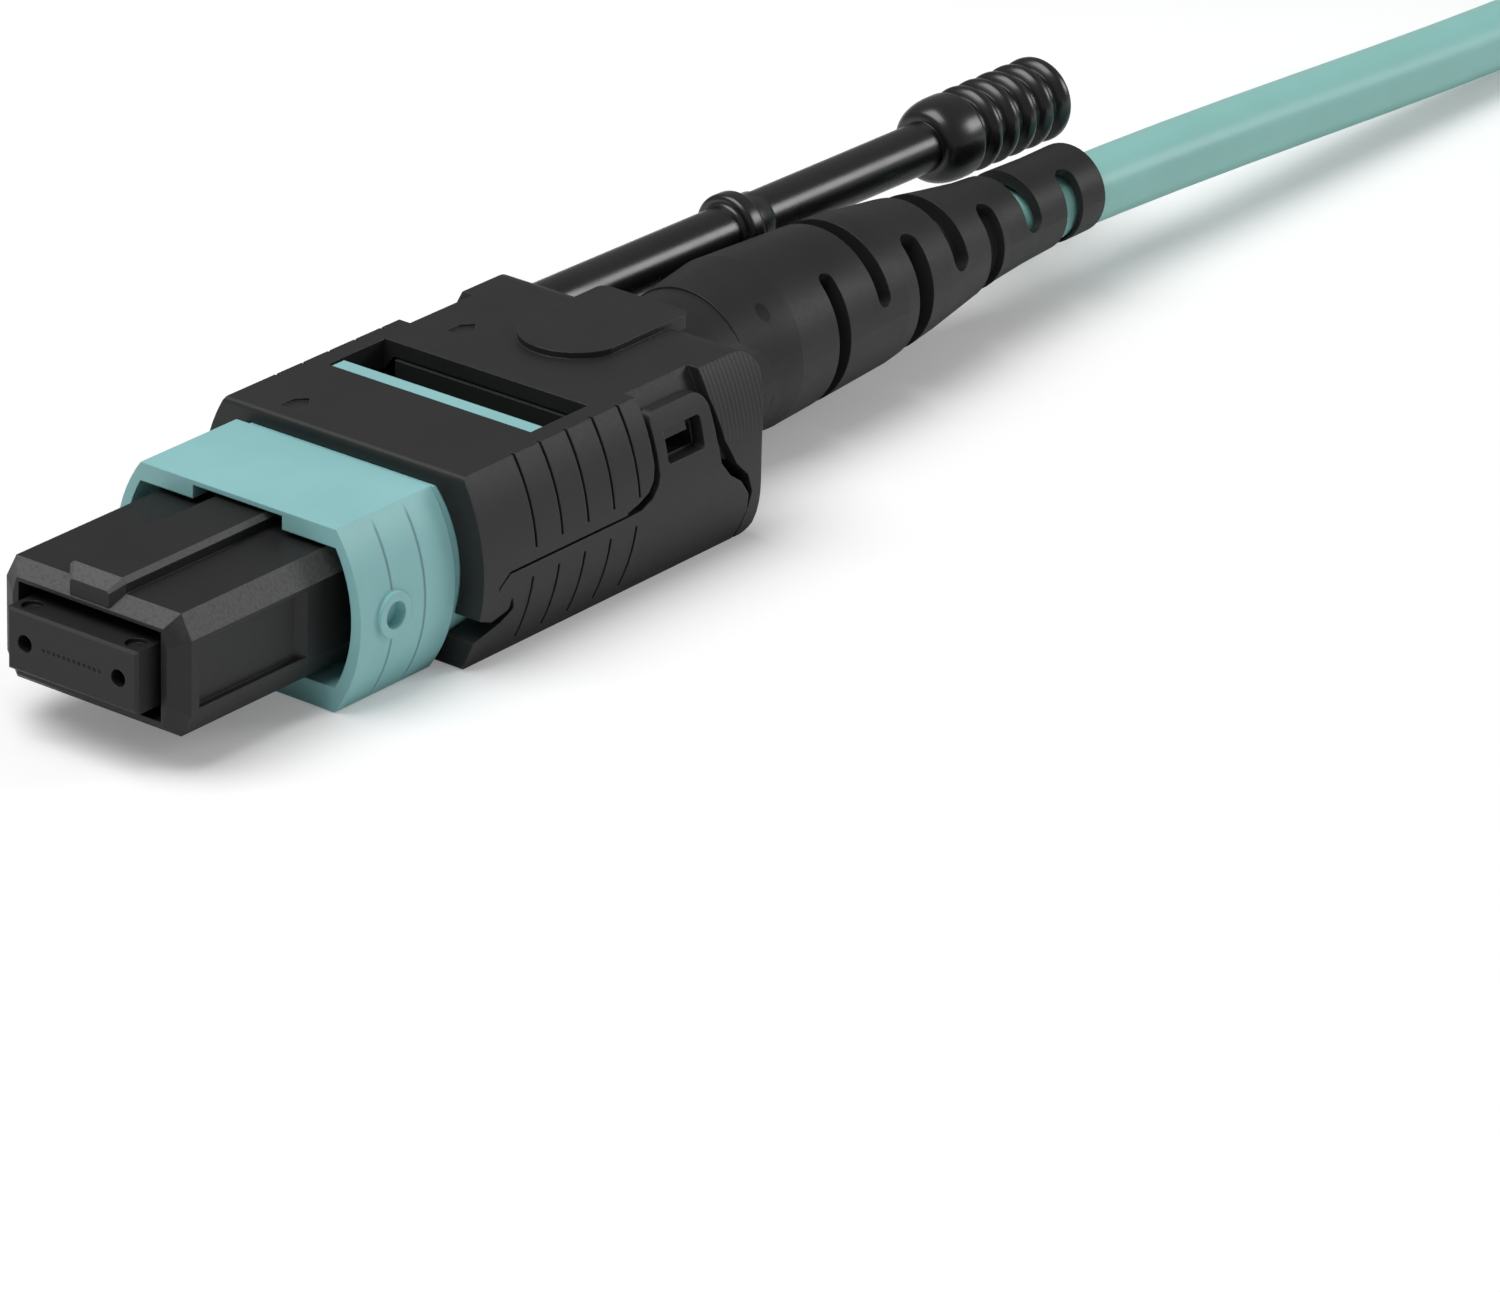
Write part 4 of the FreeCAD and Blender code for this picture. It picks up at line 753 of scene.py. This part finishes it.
# The housing's upward bevels get a painted highlight.
plug.paint_bevel_highlight(0.075)
dress(
    plug.material(0.5, grain=0.5, sheen=0.4),
    "inner_housing",
    "far_inner_housing",
    "spring_push",
)

# %% [markdown]
# ## The shell
# The clip-on shell is a softer black. Fine tool marks cross its rounded rear corners; as geometry
# they would need hundreds of faces, and at a quarter of a millimetre a bump serves as well. The
# mask keeps them off the flat top and the raised pad.

# %% Shell black
RIDGE_PITCH = 0.24
RIDGE_HEIGHT = 1.6


def ear_ridges(graph):
    """The fine tool marks across the rounded rear corners of the shell."""
    x, y, z = parts_of(place_of(graph))
    ridges = (y * (math.tau / (RIDGE_PITCH * MM))).math("SINE")
    rear = beyond(y, 29.3 + TABLE_SHIFT, 29.6 + TABLE_SHIFT)
    upper = beyond(z, 4.6, 5.6)
    outer = beyond(x.math("ABSOLUTE"), 5.0, 5.3)
    return ridges * rear * upper * outer * RIDGE_HEIGHT


shell = Moulded("shell_black", (0.0165, 0.0165, 0.0165), grain_mm=0.2, edge_wear_and_highlight=0.5)
shell.height = shell.height + ear_ridges(shell.graph)
dress(
    shell.material(0.48, grain=0.3, sheen=0.42),
    "shell_upper",
    "shell_lower",
    "far_shell_upper",
    "far_shell_lower",
)

# %% [markdown]
# ## The coupling sleeve
# The sleeve is aqua, the colour code for this kind of fibre. Two shallow lines cross its bowed
# sides and stop at the small round of the pin hole. They are a tenth of a millimetre deep, so they
# are drawn as a bump, with painted shade darkening their colour.

# %% Aqua plastic
SLEEVE_LINES = (11.15, 13.0)
PIN_HOLE = (11.17, 3.8)
PIN_RIM = (0.92, 1.0)


def sleeve_lines(graph):
    """1 in the two lines across the bowed sides, 0 elsewhere and round the pin hole."""
    x, y, z = parts_of(place_of(graph))
    lines = 0
    for along in SLEEVE_LINES:
        off = (y - (along + TABLE_SHIFT) * MM).math("ABSOLUTE")
        lines = (1 - beyond(off, 0.03, 0.09)) + lines
    outer = beyond(x.math("ABSOLUTE"), 4.9, 5.2)
    beside = y - (PIN_HOLE[0] + TABLE_SHIFT) * MM
    above = z - PIN_HOLE[1] * MM
    inner_rim, outer_rim = ((radius * MM) ** 2 for radius in PIN_RIM)
    clear = (beside * beside + above * above).between(inner_rim, outer_rim)
    return lines * outer * clear


sleeve = Moulded("aqua_plastic", (0.285, 0.575, 0.585), grain_mm=0.2, edge_wear_and_highlight=0.2, drift=0.04)
# The two grooves get painted shade in their colour.
sleeve.grooves_with_painted_shade(sleeve_lines(sleeve.graph))
dress(sleeve.material(0.42, grain=0.15), "coupling_sleeve", "far_coupling_sleeve")

# %% [markdown]
# ## The ferrule
# The ferrule is a dull, finely ground dark plastic. The fibre ends in its face are darker still,
# and show as one thin row.

# %% Ferrule and fibre ends
ground = Moulded("ferrule_grey", (0.009, 0.009, 0.009), grain_mm=0.08)
dress(ground.material(0.55, grain=0.2), "mt_ferrule", "far_mt_ferrule")
fibre_row = Moulded("fibre_end", (0.004, 0.004, 0.004), edge_wear_and_highlight=0.0)
dress(fibre_row.material(0.4, sheen=0.2), "fibre_ribbon")

# %% [markdown]
# ## The pull rods' finish
# The rods are polished in their mould, so they are the glossiest black here: almost no grain and a
# stronger mirror share, which draws the lamps as narrow lines along them.

# %% Rod black
polished = Moulded("rod_black", (0.006, 0.006, 0.006), grain_mm=2.5, edge_wear_and_highlight=0.0)
dress(polished.material(0.28, grain=0.02, sheen=0.75), near_rod, far_rod)

# %% [markdown]
# ## The boot
# The boot is rubber: dull and nearly without grain. Two small dents are the marks that the mould's
# gate and ejector pin leave behind the shell; their black colour is painted shade.

# %% Boot rubber
rubber = Moulded("boot_black", (0.016, 0.016, 0.0155), grain_mm=0.3, edge_wear_and_highlight=0.15)
# Two dents with painted shade in them.
rubber.dent_with_painted_shade((2.5, 37.9, 6.75), (0.45, 0.3, 0.45))
rubber.dent_with_painted_shade((3.43, 37.6, 3.2), (0.3, 0.1, 0.4))
dress(
    rubber.material(0.5, grain=0.15, sheen=0.4),
    "boot",
    "far_boot",
    "ferrule_boot",
    *shoulders,
    tie,
)

# %% [markdown]
# ## The jacket and the small metal parts
# The cable's jacket is smooth and a little shinier than the sleeve. The springs, the pin clamp and
# the crimp ring hide inside, so one plain steel serves them.

# %% Jacket and steel
jacket = Moulded("cable_jacket", (0.285, 0.59, 0.55), grain_mm=0.3, edge_wear_and_highlight=0.0, drift=0.03)
dress(jacket.material(0.38, grain=0.1), cable)
steel = Moulded("spring_steel", (0.6, 0.6, 0.6))
dress(
    steel.material(0.3),
    "pin_clamp",
    "ferrule_spring",
    "coupling_spring_left",
    "coupling_spring_right",
    "crimp_ring",
    "aramid_yarn",
)

# %% [markdown]
# ## The table
# The connector lies on a white table. Under the lamps alone the table is a little short of white,
# and more light would wash out the object. A faint glow that only the camera sees brings the table
# up instead and leaves the shadow in place. It grows with distance, where the lamps fade.

# %% Table
TABLE_REACH = 3.0
GLOW_NEAR = 0.2
GLOW_FAR = 0.8


def table_white():
    """A matte white that reads as white to the camera and keeps the shadow."""
    graph = Graph(bpy.data.materials.new("table_white"))
    seen = graph.node("ShaderNodeLightPath", output="Is Camera Ray")
    matte = graph.node("ShaderNodeBsdfDiffuse", {}, {"Color": (0.86, 0.86, 0.86, 1)})
    lit = []
    for strength in (GLOW_NEAR, GLOW_FAR):
        inputs = {"Color": WHITE, "Strength": seen * strength}
        glow = graph.node("ShaderNodeEmission", {}, inputs)
        lit.append(graph.node("ShaderNodeAddShader", {}, {0: matte, 1: glow}))
    x, y, z = parts_of(place_of(graph))
    away = (x * x + y * y).between(0.01, 0.3)
    return graph.finish(graph.node("ShaderNodeMixShader", {}, {0: away, 1: lit[0], 2: lit[1]}))


corners = [(-1, -1), (1, -1), (1, 1), (-1, 1)]
table = mesh_piece(
    "table",
    [(x * TABLE_REACH, y * TABLE_REACH, 0) for x, y in corners],
    [(0, 1, 2, 3)],
    smooth=False,
)
table.data.materials.append(table_white())
print("table laid,", 2 * TABLE_REACH, "m wide")

# %% [markdown]
# ## The room
# The room is white to the camera and gives a quarter of that as light, so that the shadows stay
# soft and the black plastic keeps its depth.

# %% Room
ROOM_LIGHT = 0.24

room = bpy.data.worlds.new("room")
bpy.context.scene.world = room
air = Graph(room)
straight = air.node("ShaderNodeLightPath", output="Is Camera Ray")
through = air.node("ShaderNodeLightPath", output="Is Transmission Ray")
shown = straight.math("MAXIMUM", through)
strength = shown * (1 - ROOM_LIGHT) + ROOM_LIGHT
sky = air.node("ShaderNodeBackground", {}, {"Color": WHITE, "Strength": strength})
air.finish(sky, "ShaderNodeOutputWorld")
print("room light", ROOM_LIGHT)

# %% [markdown]
# ## The lamps
# A broad lamp above and in front gives the soft main light. A smaller one behind draws the bright
# line along the rod and lifts the rear edges.

# %% Lamps
def softbox(name, position, size, power):
    """A square area lamp that looks at the connector."""
    data = bpy.data.lights.new(name, "AREA")
    data.size = size
    data.energy = power
    made = put_in_scene(name, data)
    made.location = position
    made.rotation_euler = (-Vector(position)).to_track_quat("-Z", "Y").to_euler()
    return made


lamps = [
    softbox("overhead_softbox", (-0.1, -0.19, 0.52), 0.46, 2.75),
    softbox("rear_softbox", (0.34, 0.46, 0.23), 0.2, 0.72),
]
bpy.context.scene.view_settings.view_transform = "Standard"
print("lamps:", [lamp.name for lamp in lamps])
